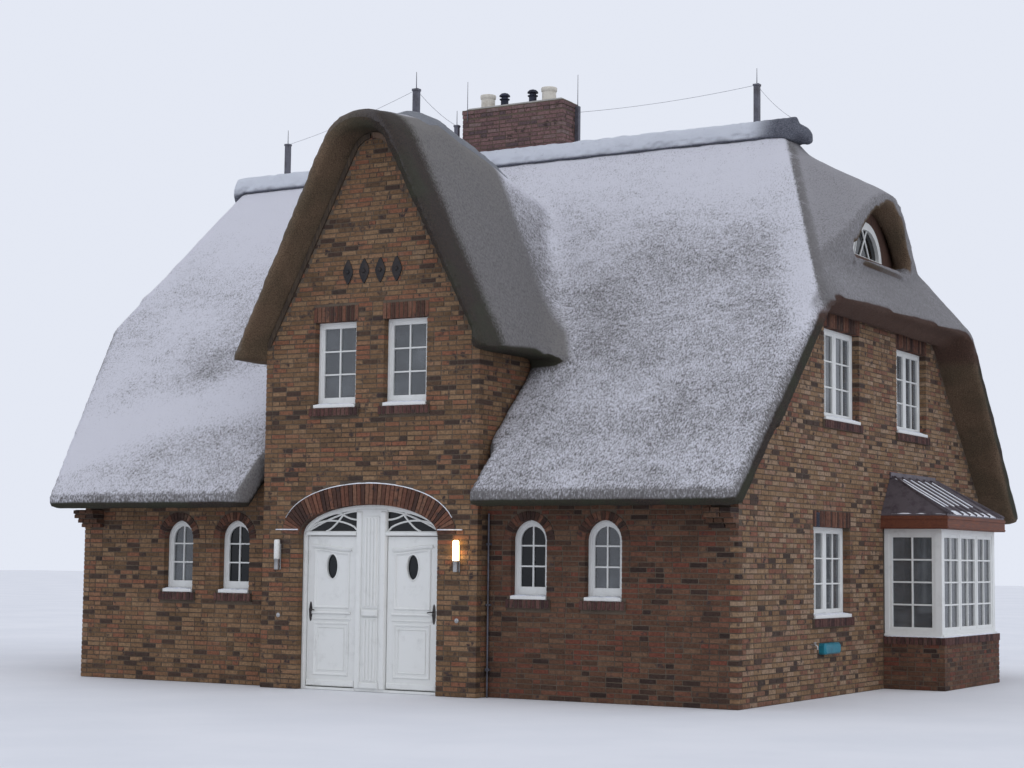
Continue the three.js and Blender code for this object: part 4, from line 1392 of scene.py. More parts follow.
@dataclass
class CasementWindow:
    """A painted casement with glazing bars and panes, in a reveal of the wall."""

    place: WindowPlace
    finishes: Finishes
    deep: float = 0.07
    frame_w: float = 0.045
    sash_w: float = 0.042
    bar_w: float = 0.022
    mullion: float = 0.05
    overlap: float = 0.002

    def outline(self, inset: float) -> list[Flat]:
        """The opening's outline drawn in on every side, from the lower left."""
        p = self.place
        if not p.arched:
            return quad(p.reach(), (p.low, p.high), inset)
        a, b = p.reach(-inset)
        low, high = p.low + inset, p.high - inset
        half = (b - a) / 2
        arc = arch_points((a + b) / 2, half, high - half * 0.998, high, 20)
        return [(a, low), (b, low)] + arc[::-1]

    def build(self) -> None:
        """Build the frame with its bars, and the panes behind them."""
        p = self.place
        draft = Draft(p.name + "_joinery")
        back = -REVEAL - self.deep
        front = -REVEAL - GAP
        draft.frame(p.plane, self.outline(0.001), self.outline(self.frame_w), (back, front))
        edge = self.frame_w
        lo, hi = p.reach(-edge)
        mullion = self.mullion if p.sashes > 1 else 0.0
        step = (hi - lo + mullion) / p.sashes
        for k in range(p.sashes):
            a = lo + k * step
            self.sash(draft, (a, a + step - mullion), front)
            if k < p.sashes - 1:
                v = (p.low + edge - 0.003, p.high - edge + 0.003)
                draft.slab(p.plane, (a + step - mullion, a + step), v, (back + 0.01, front - 0.004), 0.003)
        draft.slab(p.plane, p.reach(-0.004), (p.low + 0.004, p.low + 0.052), (front - 0.02, 0.032), 0.006)
        rail = p.low + edge + self.sash_w
        draft.slab(p.plane, (lo + 0.002, hi - 0.002), (rail - 0.008, rail + p.kick),
                   (back + 0.016, front - 0.01), 0.004)
        draft.make(self.finishes.white, slot="white_joinery", stands_for=[p.name])
        glass = Draft(p.name + "_glass")
        glass.panel(p.plane, self.outline(edge + 0.01), (front - 0.044, front - 0.038))
        glass.make(self.finishes.dark_glass if p.dark else self.finishes.glass)

    def sash(self, draft: Draft, u: Flat, front: float) -> None:
        """One sash with its bars.

        Args:
            draft: Where it goes.
            u: Its reach along the wall.
            front: Face of the outer frame.
        """
        p = self.place
        back, face = front - 0.058, front - 0.008
        edge, s = self.frame_w, self.sash_w
        low, high = p.low + edge, p.high - edge
        if p.arched:
            outer, inner = self.outline(edge - 0.001), self.outline(edge + s)
        else:
            outer, inner = quad(u, (low, high), -0.001), quad(u, (low, high), s)
        draft.frame(p.plane, outer, inner, (back, face), 0.005)
        a, b = u[0] + s - self.overlap, u[1] - s + self.overlap
        low, high = low + s - self.overlap + p.kick, high - s + self.overlap
        half = self.bar_w / 2
        for i in range(1, p.columns):
            x = a + (b - a) * i / p.columns
            draft.slab(p.plane, (x - half, x + half), (low, high), (back + 0.006, face - 0.006), 0.004)
        tall = (high - low) * (1.02 if p.arched else 1.0)
        for j in range(1, p.rows):
            z = low + tall * j / p.rows
            radius = (b - a) / 2
            rise = z - (high - radius)
            cut = radius - sqrt(max(0.0, radius**2 - rise**2)) if p.arched and rise > 0 else 0.0
            depth = (back + 0.007, face - 0.007)
            draft.slab(p.plane, (a + cut, b - cut), (z - half, z + half), depth, 0.004)


def front_places() -> list[WindowPlace]:
    """The four arched windows of the front wall."""
    face = front_plane(0.0)
    rows = enumerate(((-3.53, False), (-2.5, True), (2.37, True), (3.47, False)), 1)
    return [
        WindowPlace(f"arched_window_{i}", face, x, 0.54, 1.29, 2.34, arched=True, dark=dark, kick=0.085)
        for i, (x, dark) in rows
    ]


def bay_places() -> list[WindowPlace]:
    """The two windows over the door."""
    face = front_plane(-BAY_OUT)
    return [
        WindowPlace(f"bay_upper_window_{side}", face, x, 0.7, 3.88, 5.09, kick=0.07)
        for side, x in (("left", -0.61), ("right", 0.55))
    ]


def gable_places(side: str) -> list[WindowPlace]:
    """The three windows of a gable wall, right or left."""
    sign = 1 if side == "right" else -1
    face = right_plane(WALL_HALF) if sign > 0 else left_plane(-WALL_HALF)
    rows = (
        ("upper_front", 3.6, 3.78, 5.08), ("upper_rear", 6.6, 3.78, 5.08), ("lower_front", 3.2, 1.06, 2.31),
    )
    return [WindowPlace(f"{side}_{n}", face, sign * y, 1.38, a, b, sashes=2) for n, y, a, b in rows]


def rear_places() -> list[WindowPlace]:
    """The three windows of the rear wall."""
    face = rear_plane(DEPTH)
    return [
        WindowPlace(f"rear_window_{i}", face, -x, 1.38, 1.06, 2.31, sashes=2)
        for i, x in enumerate((-3.5, 0.0, 3.5), 1)
    ]


@dataclass
class Walls:
    """All the brickwork: courses, lintels, arches, sills, quoins and kneelers."""

    finishes: Finishes
    lintel: float = 0.228
    ring: float = 0.118
    door_ring: float = 0.3
    head: float = 2.9
    kneeler_low: float = 2.235
    kneeler_long: float = 0.36
    gable_foot: float = 4.8
    gable_top: float = 7.72
    cheek: float = 1.66
    stack_x: Flat = (-1.855, 0.045)
    stack_y: Flat = (5.04, 5.54)
    stack_top: float = 9.3
    rowlock: float = 0.762

    def build(self) -> None:
        """Lay every wall."""
        for name in (
            "front_wall_left", "front_wall_right", "rear_wall", "right_gable_wall", "left_gable_wall",
            "bay_pier_left", "bay_pier_right", "bay_gable_wall", "bay_cheek_left", "bay_cheek_right",
            "chimney", "box_bay_base",
        ):
            dress(name, self.finishes.mortar)
        self.front()
        self.bay()
        self.returns()
        self.gable("right")
        self.gable("left")
        self.rear()
        self.chimney()
        self.box_base()
        self.kneelers()

    def courses(self, name: str, seed: int, finish: bpy.types.Material, *faces: Brickwork) -> None:
        """Lay the courses of one piece.

        Args:
            name: Name of the piece.
            seed: Seed of its bricks.
            finish: Its finish.
            *faces: The faces that it covers.
        """
        draft = Draft(name, seed)
        for face in faces:
            face.lay(draft)
        draft.make(finish, slot="brick")

    def window_holes(self, places: Sequence[WindowPlace]) -> list[Hole]:
        """The openings of windows with the bricks over them."""
        holes: list[Hole] = []
        for p in places:
            if p.arched:
                half = p.wide / 2
                spring = p.high - half

                def reach(z: float, half: float = half, spring: float = spring) -> float:
                    """Half width of the opening with its ring at a height."""
                    over = max(0.0, (half + self.ring) ** 2 - (z - spring) ** 2)
                    return half if z < spring else sqrt(over)

                holes.append(ArchHole(p.u, reach, p.low, p.high + self.ring))
            else:
                holes.append(RectHole(*p.reach(), p.low, p.high))
                holes.append(RectHole(*p.reach(0.03), p.high, p.high + self.lintel, False))
            holes.append(RectHole(*p.reach(0.06), p.low - 0.11, p.low, False))
        return holes

    def trim(
        self, names: Sequence[str], seeds: Sequence[int], places: Sequence[WindowPlace],
        more: Callable[[Draft, Draft], None] | None = None,
    ) -> None:
        """Lintels or rings, sills and sill snow of some windows, as three pieces.

        Args:
            names: Names of the three pieces.
            seeds: Their seeds.
            places: The windows.
            more: Adds bricks to the first piece and snow to the third.
        """
        bricks, sills, snow = (Draft(name, seed) for name, seed in zip(names, seeds))
        for p in places:
            if p.arched:
                half = p.wide / 2
                arc = oval_points(p.u, half, p.high - half, p.high, 40)
                arch_ring(bricks, p.plane, offset_line(arc, -0.003), self.ring, REVEAL - 0.002, PROUD + 0.004)
            else:
                soldiers(bricks, p.plane, p.reach(0.03), (p.high - 0.003, p.high + self.lintel - 0.012),
                         proud=PROUD + 0.003)
            soldiers(sills, p.plane, p.reach(0.062), (p.low - 0.108, p.low + 0.004), SEAT, 0.049)
            snow_strip(snow, p.plane, p.reach(-0.006), p.low + 0.05, (-REVEAL + 0.002, 0.03), 0.028)
        if more:
            more(bricks, snow)
        bricks.make(self.finishes.arch_brick, slot="brick")
        sills.make(self.finishes.sill_brick, slot="brick")
        snow.make(self.finishes.snow, smooth=60)

    def front(self) -> None:
        """The two front walls beside the bay."""
        f = self.finishes
        inner = WALL_HALF - self.kneeler_long
        quoins = (End.LOW_QUOIN, End.FREE)
        for side, sign, reach, corner, ends, brick in (
            ("left", -1, (-WALL_HALF, BAY_C - BAY_HALF), (-WALL_HALF - 1, -inner), quoins, f.front_brick),
            # The right wall takes the darker shaded brick: painted shade from the bay.
            ("right", 1, (BAY_C + BAY_HALF, WALL_HALF), (inner, WALL_HALF + 1), quoins[::-1], f.shaded_brick),
        ):
            places = [p for p in front_places() if reach[0] < p.u < reach[1]]
            holes = [*self.window_holes(places), RectHole(*corner, self.kneeler_low, 3.0, False)]
            self.courses(f"front_{side}_courses", 11, brick, Brickwork(
                front_plane(0.0), fixed(reach[0]), fixed(reach[1]), 0.0, self.head, holes, *ends, 21 + sign,
            ))
            names = [f"front_{side}_{part}" for part in ("arches", "sills", "sill_snow")]
            self.trim(names, (12, 13, 14), places)

    def bay(self) -> None:
        """The gable over the door with its arch."""
        plane = front_plane(-BAY_OUT)
        gable = rounded_gable(BAY_HALF, self.gable_foot, GABLE_SLOPE, self.gable_top, 24)
        ring = self.door_ring

        def reach(v: float) -> float:
            """Half width of the gable at a height."""
            if v <= self.gable_foot:
                return BAY_HALF
            width = 0.0
            for (x0, z0), (x1, z1) in zip(gable, gable[1:]):
                if x1 > 0 and min(z0, z1) <= v <= max(z0, z1):
                    width = max(width, x0 + (x1 - x0) * ((v - z0) / (z1 - z0)))
            return width - 0.004

        def door(v: float) -> float:
            """Half width taken by the doorway and its arch at a height."""
            if v < DOOR_SPRING:
                return DOOR_HALF
            rise = (v - DOOR_SPRING) / (DOOR_CROWN - DOOR_SPRING + ring)
            return (DOOR_HALF + ring) * sqrt(max(0.0, 1 - rise * rise))

        def arch(bricks: Draft, snow: Draft) -> None:
            """Brick arch of the door and the snow on it."""
            arc = oval_points(BAY_C, DOOR_HALF, DOOR_SPRING, DOOR_CROWN, 90)
            arch_ring(bricks, plane, offset_line(arc, -0.003), ring - 0.01, 0.1, 0.016)
            self.door_snow(snow, plane, offset_line(arc, ring - 0.014)[6:-6])

        places = bay_places()
        holes = [*self.window_holes(places), ArchHole(BAY_C, door, 0.0, DOOR_CROWN + ring)]
        self.courses("bay_front_courses", 31, self.finishes.front_brick, Brickwork(
            plane, lambda v: BAY_C - reach(v), lambda v: BAY_C + reach(v), 0.0, self.gable_top - 0.04, holes,
            End.LOW_QUOIN, End.LOW_QUOIN, 33,
        ))
        self.trim(("bay_front_arches", "bay_front_sills", "bay_front_snow"), (34, 35, 36), places, arch)

    def door_snow(self, draft: Draft, plane: Plane, line: Sequence[Flat]) -> None:
        """The thin line of snow along the back of the door arch and its springers.

        Args:
            draft: Where it goes.
            plane: The wall face.
            line: Back of the arch.
        """
        loops = []
        for i, (u, v) in enumerate(line):
            thick = 0.012 + 0.006 * noise.noise(Vector((u * 9, v * 9, 3.0)))
            steep = abs(line[min(i + 1, len(line) - 1)][1] - line[max(i - 1, 0)][1]) / 0.1
            thick *= max(0.35, 1 - steep)
            profile = ((-0.002, 0.002), (-0.002, 0.022), (thick, 0.019), (thick, 0.002))
            loops.append([plane.at(u, v + up, out) for up, out in profile])
        draft.loft(loops)
        for reach in ((-1.56, -1.18), (1.12, 1.5)):
            draft.slab(plane, reach, (DOOR_SPRING + 0.063, DOOR_SPRING + 0.079), (0.0, 0.03), 0.003)

    def returns(self) -> None:
        """The narrow sides of the bay and the cheeks above the main thatch."""
        for side, name, plane in (
            (-1, "left", left_plane(BAY_C - BAY_HALF)), (1, "right", right_plane(BAY_C + BAY_HALF)),
        ):

            def rear(v: float, side: int = side) -> float:
                """Rear edge along the plane."""
                return -0.004 if v < self.head else side * min(self.cheek, v - self.head - 0.03)

            edges = [fixed(-side * BAY_OUT), rear][::side]
            ends = [End.HIGH_QUOIN, End.FREE][::side]
            self.courses(f"bay_{name}_return_courses", 41 + side, self.finishes.front_brick, Brickwork(
                plane, *edges, 0.0, self.gable_foot - 0.02, [], *ends, 44 + side,
            ))

    def gable(self, side: str) -> None:
        """A gable wall, right or left."""
        sign = 1 if side == "right" else -1
        plane = right_plane(WALL_HALF) if sign > 0 else left_plane(-WALL_HALF)
        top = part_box(f"{side}_gable_wall")[1].z - 0.02
        places = gable_places(side)
        holes = self.window_holes(places)
        if sign > 0:

            def roof(v: float) -> float:
                """Half width of the box bay's roof against the wall."""
                return 1.43 - 0.42 * (v - BOX_FASCIA) / (BOX_TOP - BOX_FASCIA)

            holes.append(RectHole(BOX_Y0 - 0.05, BOX_Y1 + 0.05, 0.0, BOX_FASCIA + 0.03, False))
            holes.append(ArchHole((BOX_Y0 + BOX_Y1) / 2, roof, BOX_FASCIA + 0.02, BOX_TOP + 0.01, False))
        else:

            def brow(v: float) -> float:
                """Half width of the eyebrow window's opening."""
                return 1.33 * sqrt(max(0.0, 1 - ((v - 6.19) / 0.92) ** 2))

            holes.append(ArchHole(-DEPTH / 2, brow, 6.19, 7.1, False))
        shift = 0.0 if sign > 0 else DEPTH

        def rake(v: float) -> float:
            """How far the roof draws the wall in at a height."""
            return max(0.0, v - ROOF_INSIDE + 0.02)

        self.courses(f"{side}_gable_courses", 51 + sign, self.finishes.gable_brick, Brickwork(
            plane, lambda v: rake(v) - shift, lambda v: DEPTH - rake(v) - shift, 0.0, top, holes,
            End.HIGH_QUOIN, End.HIGH_QUOIN, 55 + sign,
        ))
        names = [f"{side}_gable_{part}" for part in ("lintels", "sills", "sill_snow")]
        self.trim(names, (57 + sign, 59 + sign, 61 + sign), places)

    def rear(self) -> None:
        """The rear wall."""
        places = rear_places()
        holes = self.window_holes(places)
        for a in (-WALL_HALF - 1, WALL_HALF - self.kneeler_long):
            holes.append(RectHole(a, a + 1 + self.kneeler_long, self.kneeler_low, 3.0, False))
        self.courses("rear_courses", 71, self.finishes.front_brick, Brickwork(
            rear_plane(DEPTH), fixed(-WALL_HALF), fixed(WALL_HALF), 0.0, self.head, holes,
            End.LOW_QUOIN, End.LOW_QUOIN, 72,
        ))
        self.trim(("rear_lintels", "rear_sills", "rear_sill_snow"), (73, 74, 75), places)

    def chimney(self) -> None:
        """The stack above the ridge with its stepped head."""
        (x0, x1), (y0, y1), top = self.stack_x, self.stack_y, self.stack_top
        draft = Draft("chimney_courses", 81)
        sides = (
            (front_plane(y0), x0, x1, End.LOW_QUOIN), (rear_plane(y1), -x1, -x0, End.LOW_QUOIN),
            (right_plane(x1), y0, y1, End.HIGH_QUOIN), (left_plane(x0), -y1, -y0, End.HIGH_QUOIN),
        )
        for i, (plane, a, b, end) in enumerate(sides):
            Brickwork(plane, fixed(a), fixed(b), 7.892, top - 0.15, [], end, end, 82 + i).lay(draft)
            for low, out, long in ((top - 0.14, 0.008, BRICK_HEAD), (top - 0.073, 0.014, BRICK_LONG)):
                u, edge = a - (out + 0.001), b + (out + 0.001)
                while edge - u > 0.03:
                    tip = min(u + long, edge)
                    if edge - tip < SHORTEST:
                        tip = edge
                    draft.brick(plane, (u, tip), (low, low + 0.056), 0.002, out)
                    u = tip + JOINT
        draft.make(self.finishes.stack_brick, slot="brick")

    def box_base(self) -> None:
        """Courses and rowlock sill under the box bay."""
        x = WALL_HALF + BOX_OUT + 0.04
        y0, y1 = BOX_Y0 - 0.04, BOX_Y1 + 0.04
        faces = (
            (right_plane(x), y0, y1, End.LOW_QUOIN, End.LOW_QUOIN),
            (front_plane(y0), WALL_HALF + 0.01, x, End.FREE, End.HIGH_QUOIN),
            (rear_plane(y1), -x, -WALL_HALF - 0.01, End.HIGH_QUOIN, End.FREE),
        )
        # Painted shade: the base under the box bay is laid in the darker shaded brick.
        self.courses("box_bay_courses", 91, self.finishes.shaded_brick, *(
            Brickwork(plane, fixed(a), fixed(b), 0.0, 0.655, [], left, right, 94 + i)
            for i, (plane, a, b, left, right) in enumerate(faces)
        ))
        sill = Draft("box_bay_rowlock", 92)
        snow = Draft("box_bay_sill_snow", 93)
        for plane, a, b, left, right in faces:
            lo = a - (0.018 if left is not End.FREE else 0)
            hi = b + (0.018 if right is not End.FREE else 0)
            soldiers(sill, plane, (lo, hi), (self.rowlock - 0.11, self.rowlock), 0.03, 0.018)
            snow_strip(snow, plane, (lo + 0.02, hi - 0.02), self.rowlock, (-0.036, 0.014), 0.02)
        sill.make(self.finishes.sill_brick, slot="brick")
        snow.make(self.finishes.snow, smooth=60)

    def kneelers(self) -> None:
        """Stepped brick kneelers under the four eaves corners."""
        draft = Draft("eaves_kneelers", 101)
        inner = WALL_HALF - self.kneeler_long
        for x0, x1 in ((-WALL_HALF, -inner), (inner, WALL_HALF)):
            for plane, a, b in ((front_plane(0.0), x0, x1), (rear_plane(DEPTH), -x1, -x0)):
                lo, hi = a - PROUD, b + PROUD
                for k, out in enumerate((0.085, 0.165, 0.245, 0.268)):
                    low = 2.232 + k * 0.0655
                    cuts = (lo, lo + 0.108, lo + 0.24, hi) if k % 2 else (lo, lo + 0.228, hi)
                    for u, t in zip(cuts, cuts[1:]):
                        draft.brick(plane, (u, t - (0 if t == hi else JOINT)), (low, low + 0.056), SEAT, out)
        # Painted shade: the kneelers under the eaves take the darker shaded brick.
        draft.make(self.finishes.shaded_brick, slot="brick")


@dataclass
class Roof:
    """The thatch with its ridge rolls, verge boards and reed ends."""

    finishes: Finishes
    cell: float = 0.082
    roll_cell: float = 0.03

    def build(self) -> None:
        """Build the roof's pieces."""
        self.thatch()
        self.ridges()
        self.boards()

    def soften(
        self, name: str, nodes: Sequence[str], cell: float, lift: float, size: float,
        material: bpy.types.Material, cells: Sequence[Sequence[Vector]] = (),
    ) -> None:
        """Join frame nodes into one soft skin with an uneven surface.

        Args:
            name: Name of the new piece.
            nodes: The nodes that it stands for.
            cell: Size of the skin's cells.
            lift: Height of the unevenness.
            size: Cells of unevenness per metre.
            material: The finish.
            cells: Corners of small filling bodies that the skin takes in.
        """
        work = bmesh.new()
        for node in nodes:
            work.from_mesh(NODES[node].data)
        for cell_points in cells:
            corners = [work.verts.new(p) for p in cell_points]
            bmesh.ops.convex_hull(work, input=corners, use_existing_faces=False)
        mesh = bpy.data.meshes.new(name)
        work.to_mesh(mesh)
        work.free()
        thing = link(name, mesh)
        grid = thing.modifiers.new("skin", "REMESH")
        grid.mode = "VOXEL"
        grid.voxel_size = cell
        grid.adaptivity = 0.0
        view = bpy.context.evaluated_depsgraph_get()
        done = bpy.data.meshes.new_from_object(thing.evaluated_get(view))
        thing.modifiers.clear()
        thing.data = done
        done.name = name
        co = np.zeros((len(done.vertices), 3))
        normal = np.zeros_like(co)
        done.vertices.foreach_get("co", co.ravel())
        done.vertices.foreach_get("normal", normal.ravel())
        rough = np.array([
            noise.noise(Vector(p) * size) + 0.5 * noise.noise(Vector(p) * size * 2.7 + Vector((5, 3, 1)))
            for p in co
        ])
        co = co + normal * (rough * lift)[:, None]
        co[:, 2] = np.maximum(co[:, 2], 0.0)
        done.vertices.foreach_set("co", co.ravel())
        done.update()
        done.materials.clear()
        done.materials.append(material)
        for face in done.polygons:
            face.use_smooth = True
        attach(thing, HOUSE)
        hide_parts(*nodes)
        LOG.info("%s: %d faces", name, len(done.polygons))

    def thatch(self) -> None:
        """The thatch of the main roof, the cross gable and the eyebrows in one coat."""
        self.soften("reed_coat", ["main_thatch", "bay_thatch", "eyebrow_right", "eyebrow_left"],
                    self.cell, 0.011, 3.2, self.finishes.thatch, self.brow_fill())

    def brow_fill(self) -> list[list[Vector]]:
        """Reed that closes the eyebrows' lips down to the hips and narrows their arches."""
        cells: list[list[Vector]] = []
        base, half, flare = 6.17, 1.3, 2.2
        for side, corner, lean in ((1, 5.75, HIP_LEAN), (-1, 6.98, 0.179)):

            def lip(w: float) -> float:
                """Distance from the middle to the lip of the eyebrow."""
                bell = ((1 + cos(pi * w / flare)) / 2) ** 0.8
                return corner - lean * (base - 5.38) + 0.02 + 0.29 * bell**0.6

            def foot(w: float) -> list[Vector]:
                """Section of the filling under the lip."""
                face = corner - lean * (base - 5.38)
                drop = min(0.42, (lip(w) - face) / lean)
                at = ((face - 0.12, base + 0.03), (lip(w), base + 0.03), (lip(w), base - 0.02),
                      (corner - lean * (base - drop - 5.38), base - drop), (face - 0.12, base - drop))
                return [Vector((side * x, DEPTH / 2 + w, z)) for x, z in at]

            def crown(w: float) -> list[Vector]:
                """Section of the filling inside the arch."""
                t = min(1.0, abs(w) / half)
                low = base + 0.88 * (1 - t * t)
                high = base + 0.91 * sqrt(1 - t * t) + 0.06
                face = corner - lean * (base - 5.38) - 0.06
                return [
                    Vector((side * x, DEPTH / 2 + w, z))
                    for x in (face, lip(w) - 0.01) for z in (low, max(high, low + 0.05))
                ]

            for s in (-1, 1):
                steps = [1.28 + (flare - 1.28) * i / 6 for i in range(7)]
                cells += [foot(s * a) + foot(s * b) for a, b in zip(steps, steps[1:])]
                steps = [0.25 + 1.03 * i / 7 for i in range(8)]
                cells += [crown(s * a) + crown(s * b) for a, b in zip(steps, steps[1:])]
        return cells

    def ridges(self) -> None:
        """The rolls along the ridges."""
        f = self.finishes
        fine = self.roll_cell
        self.soften("left_ridge_roll", ["ridge_cap_left"], fine, 0.016, 5.0, f.capping)
        nose = [
            Vector((3.98 + 0.38 * sin(b), 5.0 + 0.2 * cos(a) * cos(b) ** 0.5,
                    8.365 - 0.14 * sin(b) + 0.17 * sin(a) * cos(b) ** 0.5))
            for a in (tau * i / 16 for i in range(16)) for b in (0.0, 0.5, 1.0, 1.35)
        ]
        right = ["ridge_cap_right"]
        self.soften("right_ridge_roll", right, fine, 0.016, 5.0, f.capping, [nose])
        saddle = []
        for y, sink in ((0.3, 0.14), (0.52, 0.04), (0.9, 0.0), (2.4, 0.01), (2.75, 0.06)):
            ridge = 8.12 - 0.2105 * max(0.0, y - 0.7) - sink
            saddle += [
                Vector((BAY_C + 0.49 * cos(a), y, ridge - 0.3 + 0.4 * sin(a)))
                for a in (pi * i / 14 for i in range(15))
            ]
        bare = f.bay_capping
        self.soften("bay_ridge_roll", ["bay_ridge_cap"], fine, 0.014, 5.0, bare, [saddle])

    def boards(self) -> None:
        """Dark boards where the gable walls meet the thatch."""
        plane = front_plane(-BAY_OUT)
        line = [(BAY_C + x, z) for x, z in rounded_gable(1.752, 4.81, GABLE_SLOPE, 7.70, 16)]
        inner = offset_line(line, -0.07)
        for name, part, finish in (
            ("bay_verge_board", slice(0, 9), self.finishes.board),
            ("bay_verge_fillet", slice(9, 18), self.finishes.fillet),
        ):
            draft = Draft(name)
            draft.loft([
                [plane.at(*p, 0.004), plane.at(*q, 0.004), plane.at(*q, 0.034), plane.at(*p, 0.034)]
                for p, q in zip(line[part], inner[part])
            ])
            draft.make(finish)


@dataclass
class Doorway:
    """The double door with its fluted post, transom lights and fittings."""

    finishes: Finishes
    plane: Plane = field(default_factory=lambda: front_plane(DOOR_FACE))
    half: float = DOOR_HALF - DOOR_FRAME
    light_sill: float = DOOR_HEAD + 0.062
    face: float = -0.03
    back: float = -0.09
    leaf_low: float = 0.05
    oval_height: float = 1.695
    handle_height: float = 1.07
    hinge_heights: tuple[float, ...] = (0.26, 1.12, 1.78)
    knuckle: float = 0.07
    knuckle_radius: float = 0.009

    def build(self) -> None:
        """Build the frame and both leaves."""
        self.frame()
        for side, name in ((-1, "left"), (1, "right")):
            self.leaf(side, name)
            self.hinges(side, name)

    def frame(self) -> None:
        """Outer frame, post and transom lights."""
        f = self.finishes
        draft = Draft("door_surround")
        p = self.plane
        half = DOOR_HALF - 0.001
        edges = []
        for inset, crown in ((0.0, 0.001), (DOOR_FRAME, DOOR_FRAME)):
            arc = oval_points(BAY_C, half - inset, DOOR_SPRING, DOOR_CROWN - crown, 36)
            edges.append([(BAY_C - half + inset, 0.002)] + arc + [(BAY_C + half - inset, 0.002)])
        section = (
            (0.0, -0.09), (0.0, -0.004), (0.1, 0.0), (0.5, 0.0), (0.56, -0.012), (1.0, -0.014), (1.0, -0.09),
        )
        draft.loft([
            [p.at(a[0] + (b[0] - a[0]) * t, a[1] + (b[1] - a[1]) * t, w) for t, w in section]
            for a, b in zip(*edges)
        ])
        for s in (-1, 1):
            lo, hi = sorted((BAY_C + s * POST_HALF, BAY_C + s * (half - DOOR_FRAME)))
            for v, w, taper in (
                ((DOOR_HEAD, self.light_sill), (-0.088, -0.004), 0.006),
                ((DOOR_HEAD + 0.002, DOOR_HEAD + 0.052), (-0.02, 0.026), 0.01),
                ((0.002, 0.038), (-0.088, 0.01), 0.004),
            ):
                draft.slab(p, (lo - 0.004, hi + 0.004), v, w, taper)
        draft.slab(p, (BAY_C - POST_HALF, BAY_C + POST_HALF), (0.002, DOOR_CROWN - DOOR_FRAME + 0.004),
                   (-0.089, -0.006), 0.004)
        self.post(draft)
        self.lattice(draft)
        draft.make(f.white, slot="white_joinery", stands_for=["door_frame"])
        glass = Draft("door_transom_glass")
        for s in (-1, 1):
            glass.panel(p, [(BAY_C + s * u, v) for u, v in self.light_outline(0.006)], (-0.05, -0.044))
        glass.make(f.dark_glass)

    def light_outline(self, grow: float) -> list[Flat]:
        """Outline of a transom light from the door's middle line.

        Args:
            grow: How far it reaches behind the frame.

        Returns:
            The outline of the right-hand light.
        """
        a = POST_HALF - grow
        sill = self.light_sill - grow
        arc = oval_points(0.0, self.half + grow, DOOR_SPRING, DOOR_CROWN - DOOR_FRAME + grow, 72)
        top = [q for q in arc if q[0] >= a and q[1] > sill + 0.002]
        return [(a, sill), (top[-1][0] + 0.001, sill)] + top[::-1] + [(a, top[0][1])]

    def post(self, draft: Draft) -> None:
        """Pilasters and flutes of the centre post."""
        p = self.plane

        def block(u: float, wide: float, v: Flat, out: float, taper: float) -> None:
            """A raised block on the post."""
            draft.slab(p, (BAY_C + u - wide, BAY_C + u + wide), v, (-0.01, out), taper)

        for u in (-0.2, 0.2):
            block(u, 0.042, (0.04, DOOR_CROWN - DOOR_FRAME - 0.03), 0.02, 0.012)
        for v0, v1 in ((0.16, 0.98), (1.16, 2.36)):
            block(0.0, 0.125, (v0 - 0.03, v1 + 0.03), 0.008, 0.006)
            for u in (-0.084, -0.028, 0.028, 0.084):
                draft.tube([p.at(BAY_C + u, v0, 0.009), p.at(BAY_C + u, v1, 0.009)], 0.019, 12)
        block(0.0, 0.13, (1.02, 1.11), 0.036, 0.016)
        block(0.0, 0.155, (0.045, 0.13), 0.036, 0.014)

    def lattice(self, draft: Draft) -> None:
        """Curved bars of the transom lights."""
        low = self.light_sill
        a, long = POST_HALF, self.half - POST_HALF
        heights = sorted(self.light_outline(0.0)[2:], key=lambda q: q[0])

        def roof(u: float) -> float:
            """Height of the light at a place along."""
            for (x0, z0), (x1, z1) in zip(heights, heights[1:]):
                if x0 <= u <= x1 and x1 > x0:
                    return z0 + (z1 - z0) * (u - x0) / (x1 - x0)
            return heights[0][1] if u < heights[0][0] else heights[-1][1]

        runs = (
            (lambda t: (a + long * t, low + (roof(a) - low) * (1 - t**1.6) * 0.97)),
            (lambda t: (a + long * t, low + (roof(a + long * t) - low) * t**0.6 * 0.98)),
            (lambda t: (a + long * 0.42 * t, low + (roof(a) - low) * (0.55 + 0.45 * t**2))),
            (lambda t: (a + long * (0.3 + 0.34 * t), low + (roof(0.65) - low) * (1 - t) ** 1.5)),
        )
        for s in (-1, 1):
            for run in runs:
                points = [run(i / 14) for i in range(15)]
                draft.tube([
                    self.plane.at(BAY_C + s * u, max(low, min(v, roof(u) + 0.004)), -0.04) for u, v in points
                ], 0.0135, 8)

